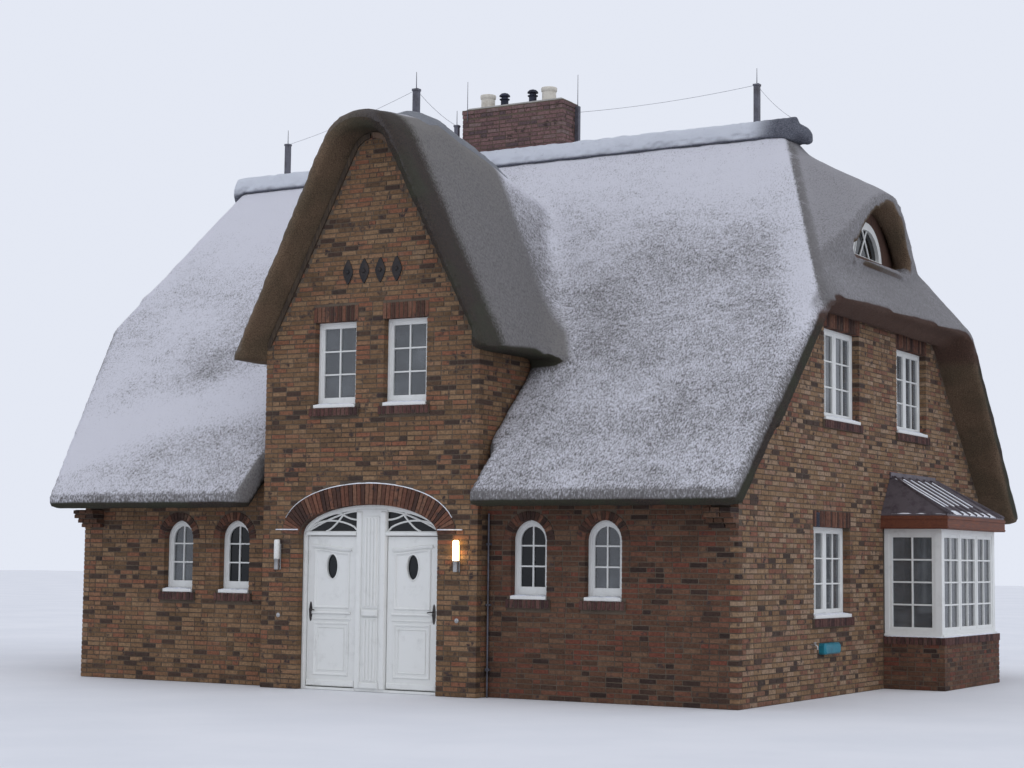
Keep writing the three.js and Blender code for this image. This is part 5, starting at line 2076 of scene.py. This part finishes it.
    def leaf(self, s: int, side: str) -> None:
        """One leaf with its panels, oval light and handle.

        Args:
            s: Side, -1 or 1.
            side: Left or right.
        """
        f = self.finishes
        p = self.plane
        body, node = f"{side}_leaf", f"door_leaf_{side}"
        low, high = self.leaf_low, DOOR_HEAD - 0.01
        free = BAY_C + s * (DOOR_HALF - GAP - DOOR_FRAME - 0.01)
        a, b = sorted((BAY_C + s * (POST_HALF + 0.01), free))
        face, back = self.face, self.back
        eye = ((a + b) / 2, self.oval_height)
        draft = Draft(f"{node}_boards")
        count = 64
        oval = ellipse(eye, 0.088, 0.166, count)
        rim = []
        for c, d in circle(count):
            reach = min(
                ((b - eye[0]) if c > 0 else (eye[0] - a)) / abs(c) if abs(c) > 1e-6 else 9.0,
                ((high - eye[1]) if d > 0 else (eye[1] - low)) / abs(d) if abs(d) > 1e-6 else 9.0,
            )
            rim.append((eye[0] + c * reach, eye[1] + d * reach))
        for corner in quad((a, b), (low, high)):
            k = min(range(count), key=lambda i: dist(rim[i], corner))
            rim[k] = corner
        draft.shell(p, [(rim, back), (rim, face), (oval, face), (oval, back)], ring=True)
        self.mouldings(draft, (a, b), s)
        bead = ellipse(eye, 0.112, 0.19, count)
        draft.shell(p, [
            (bead, face - 0.002), (bead, face + 0.006), (scaled(bead, eye, 0.88, 0.92), face + 0.014),
            (oval, face + 0.004), (oval, face - 0.002),
        ], ring=True)
        draft.make(f.white, body, "white_joinery", 35, [node])
        glass = Draft(f"{node}_oval_glass")
        glass.panel(p, scaled(oval, eye, 1.04, 1.03), (-0.066, -0.06))
        glass.make(f.dark_glass, body)
        self.handle(s, free - s * 0.055, body, node)

    def mouldings(self, draft: Draft, edges: Flat, s: int) -> None:
        """Raised mouldings round the panels of a leaf.

        Args:
            draft: Where they go.
            edges: Left and right edge of the leaf.
            s: Side, -1 or 1.
        """
        p, face = self.plane, self.face

        def ring(outline: Sequence[Flat], wide: float, tall: float) -> None:
            """One moulding round an outline."""
            cu, cv = middle(outline)

            def into(d: float) -> list[Flat]:
                """The outline moved inward."""
                return [(u - copysign(d, u - cu), v - copysign(d, v - cv)) for u, v in outline]

            draft.shell(p, [
                (outline, face - 0.004), (outline, face + tall * 0.5), (into(wide * 0.3), face + tall),
                (into(wide * 0.65), face + tall * 0.8), (into(wide), face + tall * 0.15),
                (into(wide), face - 0.004),
            ], ring=True)

        a, b = edges
        lo, hi = a + 0.11, b - 0.11
        outer_high, inner_high = (2.005, 1.955)[::s]
        top = []
        for i in range(13):
            t = i / 12
            swell = 0.5 - 0.5 * cos(pi * t)
            rise = inner_high + (outer_high - inner_high) * (1 - swell)
            top.append((hi + (lo - hi) * t, rise - 0.02))
        ring([(lo, 1.12), (hi, 1.12)] + [(u, v - 0.045) for u, v in top], 0.036, 0.02)
        ring(quad((lo, hi), (0.2, 0.93)), 0.036, 0.02)
        ring(quad((lo, hi), (0.2, 0.93), 0.07), 0.012, 0.012)
        profile = (
            (-0.03, -0.002), (-0.03, 0.016), (-0.014, 0.028), (0.004, 0.03), (0.014, 0.014), (0.014, -0.002),
        )
        draft.loft([
            [p.at(u, v + up, face + out) for up, out in profile]
            for u, v in [(hi + 0.03, top[0][1]), *top, (lo - 0.03, top[-1][1])]
        ])
        for u, v, out, taper in (
            ((a + 0.004, b - 0.004), (0.054, 0.135), 0.026, 0.012),
            ((lo - 0.03, hi + 0.03), (1.04, 1.075), 0.03, 0.012),
            ((lo - 0.03, hi + 0.03), (0.965, 0.985), 0.02, 0.008),
        ):
            draft.slab(p, u, v, (face - 0.002, face + out), taper)

    def handle(self, s: int, u: float, body: str, node: str) -> None:
        """Back plate, lever and lock on a leaf.

        Args:
            s: Side, -1 or 1.
            u: Place along the door.
            body: Body that it moves with.
            node: Name of the leaf.
        """
        p = self.plane
        draft = Draft(f"{node}_handle")
        heart = (u, self.handle_height)
        plate = ellipse(heart, 0.027, 0.135, 24)
        draft.shell(p, [(plate, -0.032), (plate, -0.026), (scaled(plate, heart, 0.8, 0.96), -0.022)])
        lever = (
            (0.0, 1.1, -0.026, 0.009), (0.0, 1.1, 0.006, 0.009), (0.012, 1.1, 0.014, 0.009),
            (0.045, 1.098, 0.016, 0.008), (0.08, 1.092, 0.014, 0.0085), (0.086, 1.088, 0.008, 0.006),
        )
        draft.tube([p.at(u - s * du, v, w) for du, v, w, _ in lever], [point[3] for point in lever], 12)
        draft.tube([p.at(u, 1.02, -0.026), p.at(u, 1.02, -0.016)], 0.013, 16)
        draft.make(self.finishes.bronze, body, smooth=40)

    def hinges(self, s: int, side: str) -> None:
        """Knuckles on the inner face of a leaf, and their pins on the post.

        Args:
            s: Side, -1 or 1.
            side: Left or right.
        """
        x = BAY_C + s * (POST_HALF + 0.005)
        y = DOOR_FACE + 0.1
        moving = Draft(f"door_leaf_{side}_hinges")
        fixed_part = Draft(f"hinge_pins_{side}")

        def knuckle(draft: Draft, v: Flat, tail: Flat) -> None:
            """A knuckle with its flap."""
            draft.tube([Vector((x, y, v[0])), Vector((x, y, v[1]))], self.knuckle_radius, 16)
            draft.slab(inner_plane(y), tuple(sorted(tail)), v, (-0.0105, -0.004))

        for z in self.hinge_heights:
            knuckle(moving, (z, z + self.knuckle), (x + s * 0.012, x + s * 0.07))
            for v in ((z - 0.024, z - 0.0006), (z + 0.0706, z + 0.094)):
                knuckle(fixed_part, v, (x, x - s * 0.05))
        moving.make(self.finishes.bright, f"{side}_leaf", smooth=40)
        fixed_part.make(self.finishes.bright, smooth=40)


@dataclass
class BoxBay:
    """The box bay window of the right gable: casements, fascia and seamed roof."""

    finishes: Finishes
    post: float = 0.11
    stile: float = 0.07
    mullion: float = 0.035
    sash_w: float = 0.05
    bar_half: float = 0.012
    overhang: float = 0.13
    hip: float = 0.42
    seam_wide: float = 0.016
    seam_tall: float = 0.028
    seams: int = 6

    def build(self) -> None:
        """Build the bay's pieces."""
        self.casements()
        self.fascia()
        self.roof()

    def casements(self) -> None:
        """Corner posts, sashes, bars and panes."""
        draft = Draft("box_bay_joinery")
        glass = Draft("box_bay_glass")
        x = WALL_HALF + BOX_OUT
        low, top = BOX_SILL + GAP, BOX_HEAD - GAP
        post, gap = self.post, self.mullion
        faces = (
            (right_plane(x), BOX_Y0, BOX_Y1, 3, True), (front_plane(BOX_Y0), WALL_HALF + 0.008, x, 1, False),
            (rear_plane(BOX_Y1), -x, -WALL_HALF - 0.008, 1, False),
        )
        for plane, a, b, sashes, front in faces:
            wall_first = plane.along.x > 0
            lo = a + (self.stile if not front and wall_first else post)
            hi = b - (self.stile if not front and not wall_first else post)
            for v in ((low, low + 0.09), (top - 0.075, top)):
                draft.slab(plane, (lo - 0.03, hi + 0.03), v, (-0.104, -0.004), 0.003)
            sill = (a - 0.012, b + 0.012) if front else ((a, b - 0.004) if wall_first else (a + 0.004, b))
            draft.slab(plane, sill, (low + 0.006, low + 0.04), (-0.02, 0.03), 0.006)
            if front:
                for reach in ((a, a + post), (b - post, b)):
                    draft.slab(plane, reach, (low, top), (-post, 0.0), 0.006)
            else:
                draft.slab(plane, (a, lo) if wall_first else (hi, b), (low, top), (-0.1, -0.002), 0.004)
            step = (hi - lo + gap) / sashes
            for k in range(sashes):
                u0 = lo + k * step
                u1 = u0 + step - gap
                self.sash(draft, plane, (u0, u1), (low + 0.09, top - 0.075))
                if k < sashes - 1:
                    mullion = (u1 - 0.002, u1 + gap + 0.002)
                    draft.slab(plane, mullion, (low + 0.08, top - 0.07), (-0.1, -0.006), 0.004)
            glass.panel(plane, quad((lo, hi), (low + 0.1, top - 0.085)), (-0.056, -0.05))
        draft.make(self.finishes.white, slot="white_joinery", stands_for=["box_bay_window"])
        glass.make(self.finishes.glass)

    def sash(self, draft: Draft, plane: Plane, u: Flat, v: Flat) -> None:
        """One casement of two by four panes.

        Args:
            draft: Where it goes.
            plane: The face.
            u: Reach along.
            v: Reach up.
        """
        s, bar = self.sash_w, self.bar_half
        draft.frame(plane, quad(u, v), quad(u, v, s), (-0.085, -0.014), 0.006)
        a, b = u[0] + s - 0.002, u[1] - s + 0.002
        low, high = v[0] + s - 0.002, v[1] - s + 0.002
        x = (a + b) / 2
        draft.slab(plane, (x - bar, x + bar), (low, high), (-0.075, -0.022), 0.004)
        for j in range(1, 4):
            z = low + (high - low) * j / 4
            draft.slab(plane, (a, b), (z - bar, z + bar), (-0.074, -0.023), 0.004)

    def fascia(self) -> None:
        """Stained fascia with a drip edge and a top bead."""
        f = self.finishes
        dress("box_bay_fascia", f.fascia)
        draft = Draft("box_bay_fascia_trim")
        x = WALL_HALF + BOX_OUT + self.overhang
        y0, y1 = BOX_Y0 - self.overhang, BOX_Y1 + self.overhang
        for plane, a, b in (
            (right_plane(x), y0, y1), (front_plane(y0), WALL_HALF + 0.01, x),
            (rear_plane(y1), -x, -WALL_HALF - 0.01),
        ):
            draft.slab(plane, (a, b), (BOX_HEAD + 0.012, BOX_HEAD + 0.034), (-0.002, 0.012), 0.004)
            draft.slab(plane, (a, b), (BOX_FASCIA - 0.05, BOX_FASCIA - 0.018), (-0.002, 0.014), 0.004)
        draft.make(f.fascia, slot="stained_wood")

    def roof(self) -> None:
        """Standing seams, flashing and the snow between the seams."""
        f = self.finishes
        dress("box_bay_roof", f.zinc)
        x0, x1 = WALL_HALF, WALL_HALF + BOX_OUT + 0.12
        y0, y1 = BOX_Y0 - 0.12, BOX_Y1 + 0.12
        foot, top = BOX_FASCIA + 0.02, BOX_TOP
        lo, hi = y0 + self.hip, y1 - self.hip
        head = x0 + 0.06
        seams = Draft("box_bay_seams")
        snow = Draft("box_bay_roof_snow")
        face = Vector((top - foot, 0, x1 - x0 - 0.06)).normalized()
        seam = (self.seam_wide, self.seam_tall)

        def rib(into: Draft, a: Vector, b: Vector, out: Vector, size: Flat) -> None:
            """A rib of a width and height between two points of a slope."""
            across = (b - a).normalized().cross(out).normalized() * size[0] / 2
            into.loft([
                [q - across - out * 0.003, q + across - out * 0.003, q + across * 0.6 + out * size[1],
                 q - across * 0.6 + out * size[1]] for q in (a, b)
            ])

        count = self.seams
        step = (y1 - y0 - 2 * self.hip) / count
        for i in range(count + 1):
            y = lo + (y1 - y0 - 2 * self.hip) * i / count
            start = y if 0 < i < count else y0 + (y1 - y0) * i / count
            rib(seams, Vector((x1, start, foot)), Vector((head, y, top)), face, seam)
        for k, (a, b) in enumerate(((y0, lo), (hi, y1))):
            for t in (0.33, 0.66):
                y = a + (b - a) * t
                rise = t if k == 0 else 1 - t
                end = Vector((x1 - (x1 - x0 - 0.06) * rise, y, foot + (top - foot) * rise))
                rib(seams, Vector((x1, y, foot)), end, face, seam)
        upstand = (top - 0.012, top + 0.075)
        seams.slab(right_plane(x0), (lo - 0.04, hi + 0.04), upstand, (0.008, 0.03), 0.003)
        ends = [Vector((x0 + 0.035, y, top)) for y in (lo - 0.02, hi + 0.02)]
        rib(seams, *ends, Vector((0, 0, 1)), (0.07, 0.02))
        seams.make(f.zinc, slot="zinc")
        chance = random.Random(5)
        for i in range(count):
            y = lo + (y1 - y0 - 2 * self.hip) * i / count + 0.03
            eave, ridge = Vector((x1, y, foot)), Vector((head, y, top))
            for t0, t1, wide, aside in (
                (0.0, 0.1, 0.9, step / 2 - 0.03), (0.05 + 0.25 * chance.random(), 0.96, 0.46, 0.006),
            ):
                shift = Vector((0, aside, 0))
                ends = [eave.lerp(ridge, t) + shift for t in (t0, t1)]
                rib(snow, *ends, face, (step * wide, 0.012))
        front = (x0 + 0.03, x1 - 0.02)
        for plane, u in ((front_plane(y0), front), (rear_plane(y1), (-front[1], -front[0]))):
            snow_strip(snow, plane, u, foot - 0.002, (-0.07, -0.002), 0.03)
        snow.make(f.snow, smooth=60)


@dataclass
class Eyebrows:
    """Half-round windows under the eyebrows of the thatch."""

    finishes: Finishes
    lining_half: float = 1.296
    sill_half: float = 1.24
    frame_half: float = 0.66
    bar_radius: float = 0.014

    def build(self) -> None:
        """Build both windows."""
        for side in ("right", "left"):
            self.window(side)

    def window(self, side: str) -> None:
        """One window with its lining and sill board.

        Args:
            side: Right or left.
        """
        f = self.finishes
        sign = 1 if side == "right" else -1
        node = f"eyebrow_window_{side}"
        lo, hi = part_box(node)
        plane = right_plane(hi.x) if sign > 0 else left_plane(lo.x)
        centre = DEPTH / 2 * sign
        base = lo.z

        def arch(half: float, low: float, high: float) -> list[Flat]:
            """A half-round outline from right to left, with heights over the sill."""
            turns = [pi * i / 24 for i in range(25)]
            return [(centre + half * cos(a), base + low + (high - low) * sin(a)) for a in turns]

        def hoop(draft: Draft, outer: list[Flat], inner: list[Flat], back: float, face: float) -> None:
            """A half-round frame between two outlines."""
            draft.shell(plane, [(outer, back), (outer, face), (inner, face), (inner, back)], ring=True)

        board = Draft(f"{node}_lining")
        hoop(board, arch(self.lining_half, 0.0, hi.z - base), arch(0.6, 0.05, 0.62), -0.058, -0.004)
        wide = self.sill_half
        board.slab(plane, (centre - wide, centre + wide), (base - 0.01, base + 0.062), (-0.055, 0.17), 0.006)
        board.make(f.lining, stands_for=[node])
        white = Draft(f"{node}_joinery")
        hoop(white, arch(self.frame_half, 0.042, 0.66), arch(0.53, 0.13, 0.55), -0.05, 0.03)
        for u0, u1, v0, v1 in ((-0.2, 0.1, 0.12, 0.55), (0.22, -0.1, 0.12, 0.55), (-0.42, -0.3, 0.12, 0.45)):
            ends = [plane.at(centre + u, base + v, -0.01) for u, v in ((u0, v0), (u1, v1))]
            white.tube(ends, self.bar_radius, 8)
        white.make(f.white, slot="white_joinery")
        glass = Draft(f"{node}_glass")
        glass.panel(plane, arch(0.56, 0.12, 0.58), (-0.03, -0.024))
        glass.make(f.dark_glass)


@dataclass
class Fittings:
    """Lamps, bells, anchors, pipe, chimney pots and the other small fittings."""

    finishes: Finishes
    lamp_low: float = 1.64
    pot_foot: float = 9.31
    pot_row: float = 5.29
    anchor_height: float = 5.77
    anchor_half: Flat = (0.085, 0.175)
    pipe_radius: float = 0.013
    case: Flat = (2.98, 0.66)
    tap: float = 2.42

    def build(self) -> None:
        """Build every fitting."""
        for floor in ("ground_floor", "upper_floor"):
            dress(floor, self.finishes.floor)
        self.conductors()
        self.lamp(-1)
        self.lamp(1)
        self.pots()
        self.anchors()
        self.bells()
        self.pipe()
        self.gable_fittings()

    def conductors(self) -> None:
        """Square posts on the ridges with their rods, joined by thin wire."""
        stack = Vector((-1.915, 4.94, 9.03))
        for side, tips in (
            ("left", [Vector((-5.46, 5.0, 9.07)), Vector((BAY_C, 0.8, 8.54)), stack]),
            ("right", [Vector((3.47, 5.0, 9.13)), Vector((0.1, 5.48, 9.16))]),
        ):
            node = f"lightning_conductor_{side}"
            post = Draft(f"{node}_posts")
            for tip in tips if side == "left" else tips[:1]:
                plane = front_plane(tip.y)
                foot = 8.5 if tip.y > 1 else tip.z - 0.4
                wide = 0.042 if tip is not stack else 0.036
                for out, v, taper in (
                    (wide, (foot, tip.z), 0.006), (wide + 0.008, (tip.z - 0.02, tip.z + 0.012), 0.004),
                ):
                    post.slab(plane, (tip.x - out, tip.x + out), v, (-out, out), taper)
                post.tube([tip + Vector((0, 0, -0.02)), tip + Vector((0, 0, 0.26))], [0.008, 0.004], 10)
            if side == "right":
                post.slab(front_plane(5.48), (0.05, 0.12), (8.5, 9.26), (-0.035, 0.035), 0.004)
                for x, y, low, high in ((0.085, 5.48, 9.24, 9.79), (-1.76, 5.02, 9.1, 9.78)):
                    post.tube([Vector((x, y, low)), Vector((x, y, high))], [0.007, 0.004], 10)
            post.make(self.finishes.steel, slot="grey_metal", stands_for=[node])
            wire = Draft(f"{node}_wire")
            runs = list(zip(tips, tips[1:]))
            if side == "right":
                runs.append((tips[0], Vector((4.05, 5.0, 8.55))))
            for a, b in runs:
                sag = [a.lerp(b, i / 12) - Vector((0, 0, 0.05 * (1 - (i / 6 - 1) ** 2))) for i in range(13)]
                wire.tube(sag, 0.0032, 6)
            wire.make(self.finishes.wire, slot="grey_metal", smooth=60)

    def lamp(self, s: int) -> None:
        """A tube lamp on its plate, on side -1 or 1."""
        f = self.finishes
        side = "left" if s < 0 else "right"
        x, y = BAY_C + s * 1.47, -BAY_OUT
        centre = Vector((x, y - 0.066, self.lamp_low))
        metal = Draft(f"lamp_{side}_holder")
        metal.slab(front_plane(y), (x - 0.032, x + 0.032), (self.lamp_low, 2.0), (0.001, 0.022), 0.004)
        metal.turned(centre, [
            (0.02, 0.0), (0.034, 0.004), (0.036, 0.02), (0.036, 0.13), (0.043, 0.14), (0.043, 0.152),
        ])
        metal.slab(front_plane(y), (x - 0.016, x + 0.016), (1.7, 1.74), (0.02, 0.06))
        metal.make(f.bright, slot="grey_metal", smooth=35, stands_for=[f"wall_lamp_{side}"])
        tube = Draft(f"lamp_{side}_tube")
        tube.turned(centre, [(0.036, 0.15), (0.042, 0.156), (0.042, 0.4), (0.038, 0.415), (0.02, 0.422)])
        tube.make(f.lamp_on if s > 0 else f.lamp_off, slot="lamp_white", smooth=50)

    def pots(self) -> None:
        """Two clay pots, two cowls and the cement bed."""
        f = self.finishes
        bed = Draft("chimney_bed")
        plane = Plane(Vector((0, 0, 9.3)), Vector((1, 0, 0)), Vector((0, 1, 0)), Vector((0, 0, 1)))
        bed.slab(plane, (-1.82, 0.01), (5.08, 5.5), (0.0005, 0.045), 0.03)
        bed.make(f.cement, stands_for=["chimney_pots"])
        for name, places, profile, finish, slot in (
            ("chimney_clay_pots", (-1.52, -0.35), (
                (0.122, 0.0), (0.118, 0.02), (0.116, 0.19), (0.13, 0.205), (0.134, 0.25), (0.128, 0.266),
                (0.108, 0.268), (0.1, 0.24), (0.098, 0.06),
            ), f.pot, "clay_pot"),
            ("chimney_cowls", (-1.2, -0.66), (
                (0.075, 0.0), (0.066, 0.02), (0.064, 0.15), (0.084, 0.158), (0.086, 0.172), (0.055, 0.18),
                (0.055, 0.21), (0.092, 0.215), (0.09, 0.232), (0.06, 0.262), (0.02, 0.275),
            ), f.cowl, None),
        ):
            draft = Draft(name)
            for x in places:
                draft.turned(Vector((x, self.pot_row, self.pot_foot)), profile)
            draft.make(finish, slot=slot, smooth=40)

    def anchors(self) -> None:
        """Four plain iron wall anchors: lozenge plates held by one bolt each."""
        draft = Draft("gable_wall_anchors")
        plane = front_plane(-BAY_OUT)
        z = self.anchor_height
        wide, tall = self.anchor_half
        for x in (-0.415, -0.145, 0.125, 0.395):
            rim = []
            for c, s in circle(32):
                reach = 1.0 / (abs(c) ** 1.25 + abs(s) ** 1.25) ** 0.8
                rim.append((x + wide * reach * c, z + tall * reach * s))
            draft.shell(plane, [(rim, 0.004), (rim, 0.02), (scaled(rim, (x, z), 0.86, 0.92), 0.026)])
            draft.boss(plane, x, z, 0.032, 0.05)
        draft.make(self.finishes.iron, smooth=50)

    def bells(self) -> None:
        """A bell push beside each leaf."""
        draft = Draft("bell_pushes")
        for x, z in ((-1.5, 1.01), (1.43, 1.0)):
            for radius, out in ((0.032, 0.016), (0.014, 0.022)):
                draft.boss(front_plane(-BAY_OUT), x, z, radius, out)
        draft.make(self.finishes.bright, smooth=50)

    def pipe(self) -> None:
        """The earthing pipe in the corner beside the bay with its clips."""
        draft = Draft("earthing_pipe")
        x = BAY_C + BAY_HALF + 0.05
        draft.tube([Vector((x, -0.05, z)) for z in (0.0, 2.2, 2.42)], self.pipe_radius, 12)
        for z in (0.35, 1.2, 2.0):
            draft.slab(front_plane(0.0), (x - 0.028, x + 0.028), (z, z + 0.03), (0.004, 0.066), 0.003)
        draft.make(self.finishes.steel, smooth=40)

    def gable_fittings(self) -> None:
        """Vent, tap and small teal case on the right gable."""
        plane = right_plane(WALL_HALF)
        vent = Draft("gable_vent")
        vent.slab(plane, (2.6, 2.72), (2.3, 2.5), (0.002, 0.012), 0.002)
        for k in range(5):
            vent.slab(plane, (2.61, 2.71), (2.315 + k * 0.036, 2.33 + k * 0.036), (0.01, 0.018), 0.003)
        vent.make(self.finishes.cowl)
        case = Draft("teal_case")
        u, v = self.case
        rim = [(u + 0.3 * a, v + 0.075 * b) for a, b in (
            (-1, -0.6), (-0.9, -1), (0.9, -1), (1, -0.6), (1, 0.6), (0.9, 1), (-0.9, 1), (-1, 0.6),
        )]
        case.shell(plane, [(rim, 0.004), (rim, 0.08), (scaled(rim, (u, v), 0.9, 0.75), 0.105)])
        case.make(self.finishes.teal, smooth=30)
        tap = Draft("garden_tap")
        u = self.tap
        for path, radius, sides in (
            (((u, 0.72, 0.0), (u, 0.72, 0.07), (u, 0.7, 0.09), (u, 0.66, 0.092)), 0.011, 10),
            (((u - 0.04, 0.75, 0.055), (u + 0.04, 0.75, 0.055)), 0.008, 8),
            (((u, 0.72, 0.055), (u, 0.752, 0.055)), 0.007, 8),
        ):
            tap.tube([plane.at(*point) for point in path], radius, sides)
        tap.make(self.finishes.bright, smooth=40)


@dataclass(frozen=True)
class Studio:
    """Pale floor, soft light and the camera."""

    lens: float = 68.92
    yaw: float = 0.5274
    pitch: float = 0.0901
    roll: float = 0.0111
    stand: tuple[float, float, float] = (15.161, -22.4535, 1.7948)
    floor_half: float = 160.0

    def build(self) -> None:
        """Set up floor, light and camera."""
        self.floor()
        self.light()
        self.camera()

    def floor(self) -> None:
        """A wide pale floor."""
        mesh = bpy.data.meshes.new("studio_floor")
        reach = (-self.floor_half, self.floor_half)
        mesh.from_pydata([(x, y, -0.001) for x, y in quad(reach, reach)], [], [(0, 1, 2, 3)])
        s = NodeSketch("pale floor")
        tone = s.mix(s.step(s.noise(0.4, 4), 0.3, 0.7), (0.74, 0.75, 0.78), (0.79, 0.795, 0.82))
        mesh.materials.append(s.finish(tone, 0.9, specular=0.2))
        link("studio_floor", mesh)

    def light(self) -> None:
        """An even pale sky and one large soft light."""
        world = bpy.data.worlds.new("overcast")
        world.use_nodes = True
        sky = world.node_tree.nodes["Background"]
        sky.inputs["Color"].default_value = (0.775, 0.812, 0.905, 1.0)
        sky.inputs["Strength"].default_value = 1.0
        bpy.context.scene.world = world
        bpy.context.scene.view_settings.view_transform = "Standard"
        lamp = bpy.data.lights.new("soft_sun", "SUN")
        lamp.energy = 0.35
        lamp.angle = radians(60)
        lamp.color = (1.0, 0.985, 0.96)
        link("soft_sun", lamp).rotation_euler = [radians(turn) for turn in (42, 8, 38)]

    def camera(self) -> None:
        """The camera at the photograph's angle."""
        data = bpy.data.cameras.new("camera")
        data.lens = self.lens
        data.sensor_width = 36.0
        data.clip_end = 500.0
        thing = link("camera", data)
        ahead = Vector((-sin(self.yaw), cos(self.yaw), 0.0))
        right = Vector((cos(self.yaw), sin(self.yaw), 0.0))
        rise = Vector((0.0, 0.0, 1.0))
        gaze = ahead * cos(self.pitch) + rise * sin(self.pitch)
        crown = rise * cos(self.pitch) - ahead * sin(self.pitch)
        across = right * cos(self.roll) + crown * sin(self.roll)
        crown = crown * cos(self.roll) - right * sin(self.roll)
        turn = Matrix((across, crown, -gaze)).transposed().to_4x4()
        thing.matrix_world = Matrix.Translation(Vector(self.stand)) @ turn
        bpy.context.scene.camera = thing


def main() -> None:
    """Build the house round its frame."""
    logging.basicConfig(level=logging.INFO, format="%(name)s: %(message)s")
    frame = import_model()
    NODES.update(frame["nodes"])
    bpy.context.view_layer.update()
    finishes = Finishes()
    Studio().build()
    Walls(finishes).build()
    Roof(finishes).build()
    places = [*front_places(), *bay_places(), *gable_places("right"), *gable_places("left"), *rear_places()]
    for place in places:
        CasementWindow(place, finishes).build()
    Doorway(finishes).build()
    BoxBay(finishes).build()
    Eyebrows(finishes).build()
    Fittings(finishes).build()


if __name__ == "__main__":
    main()
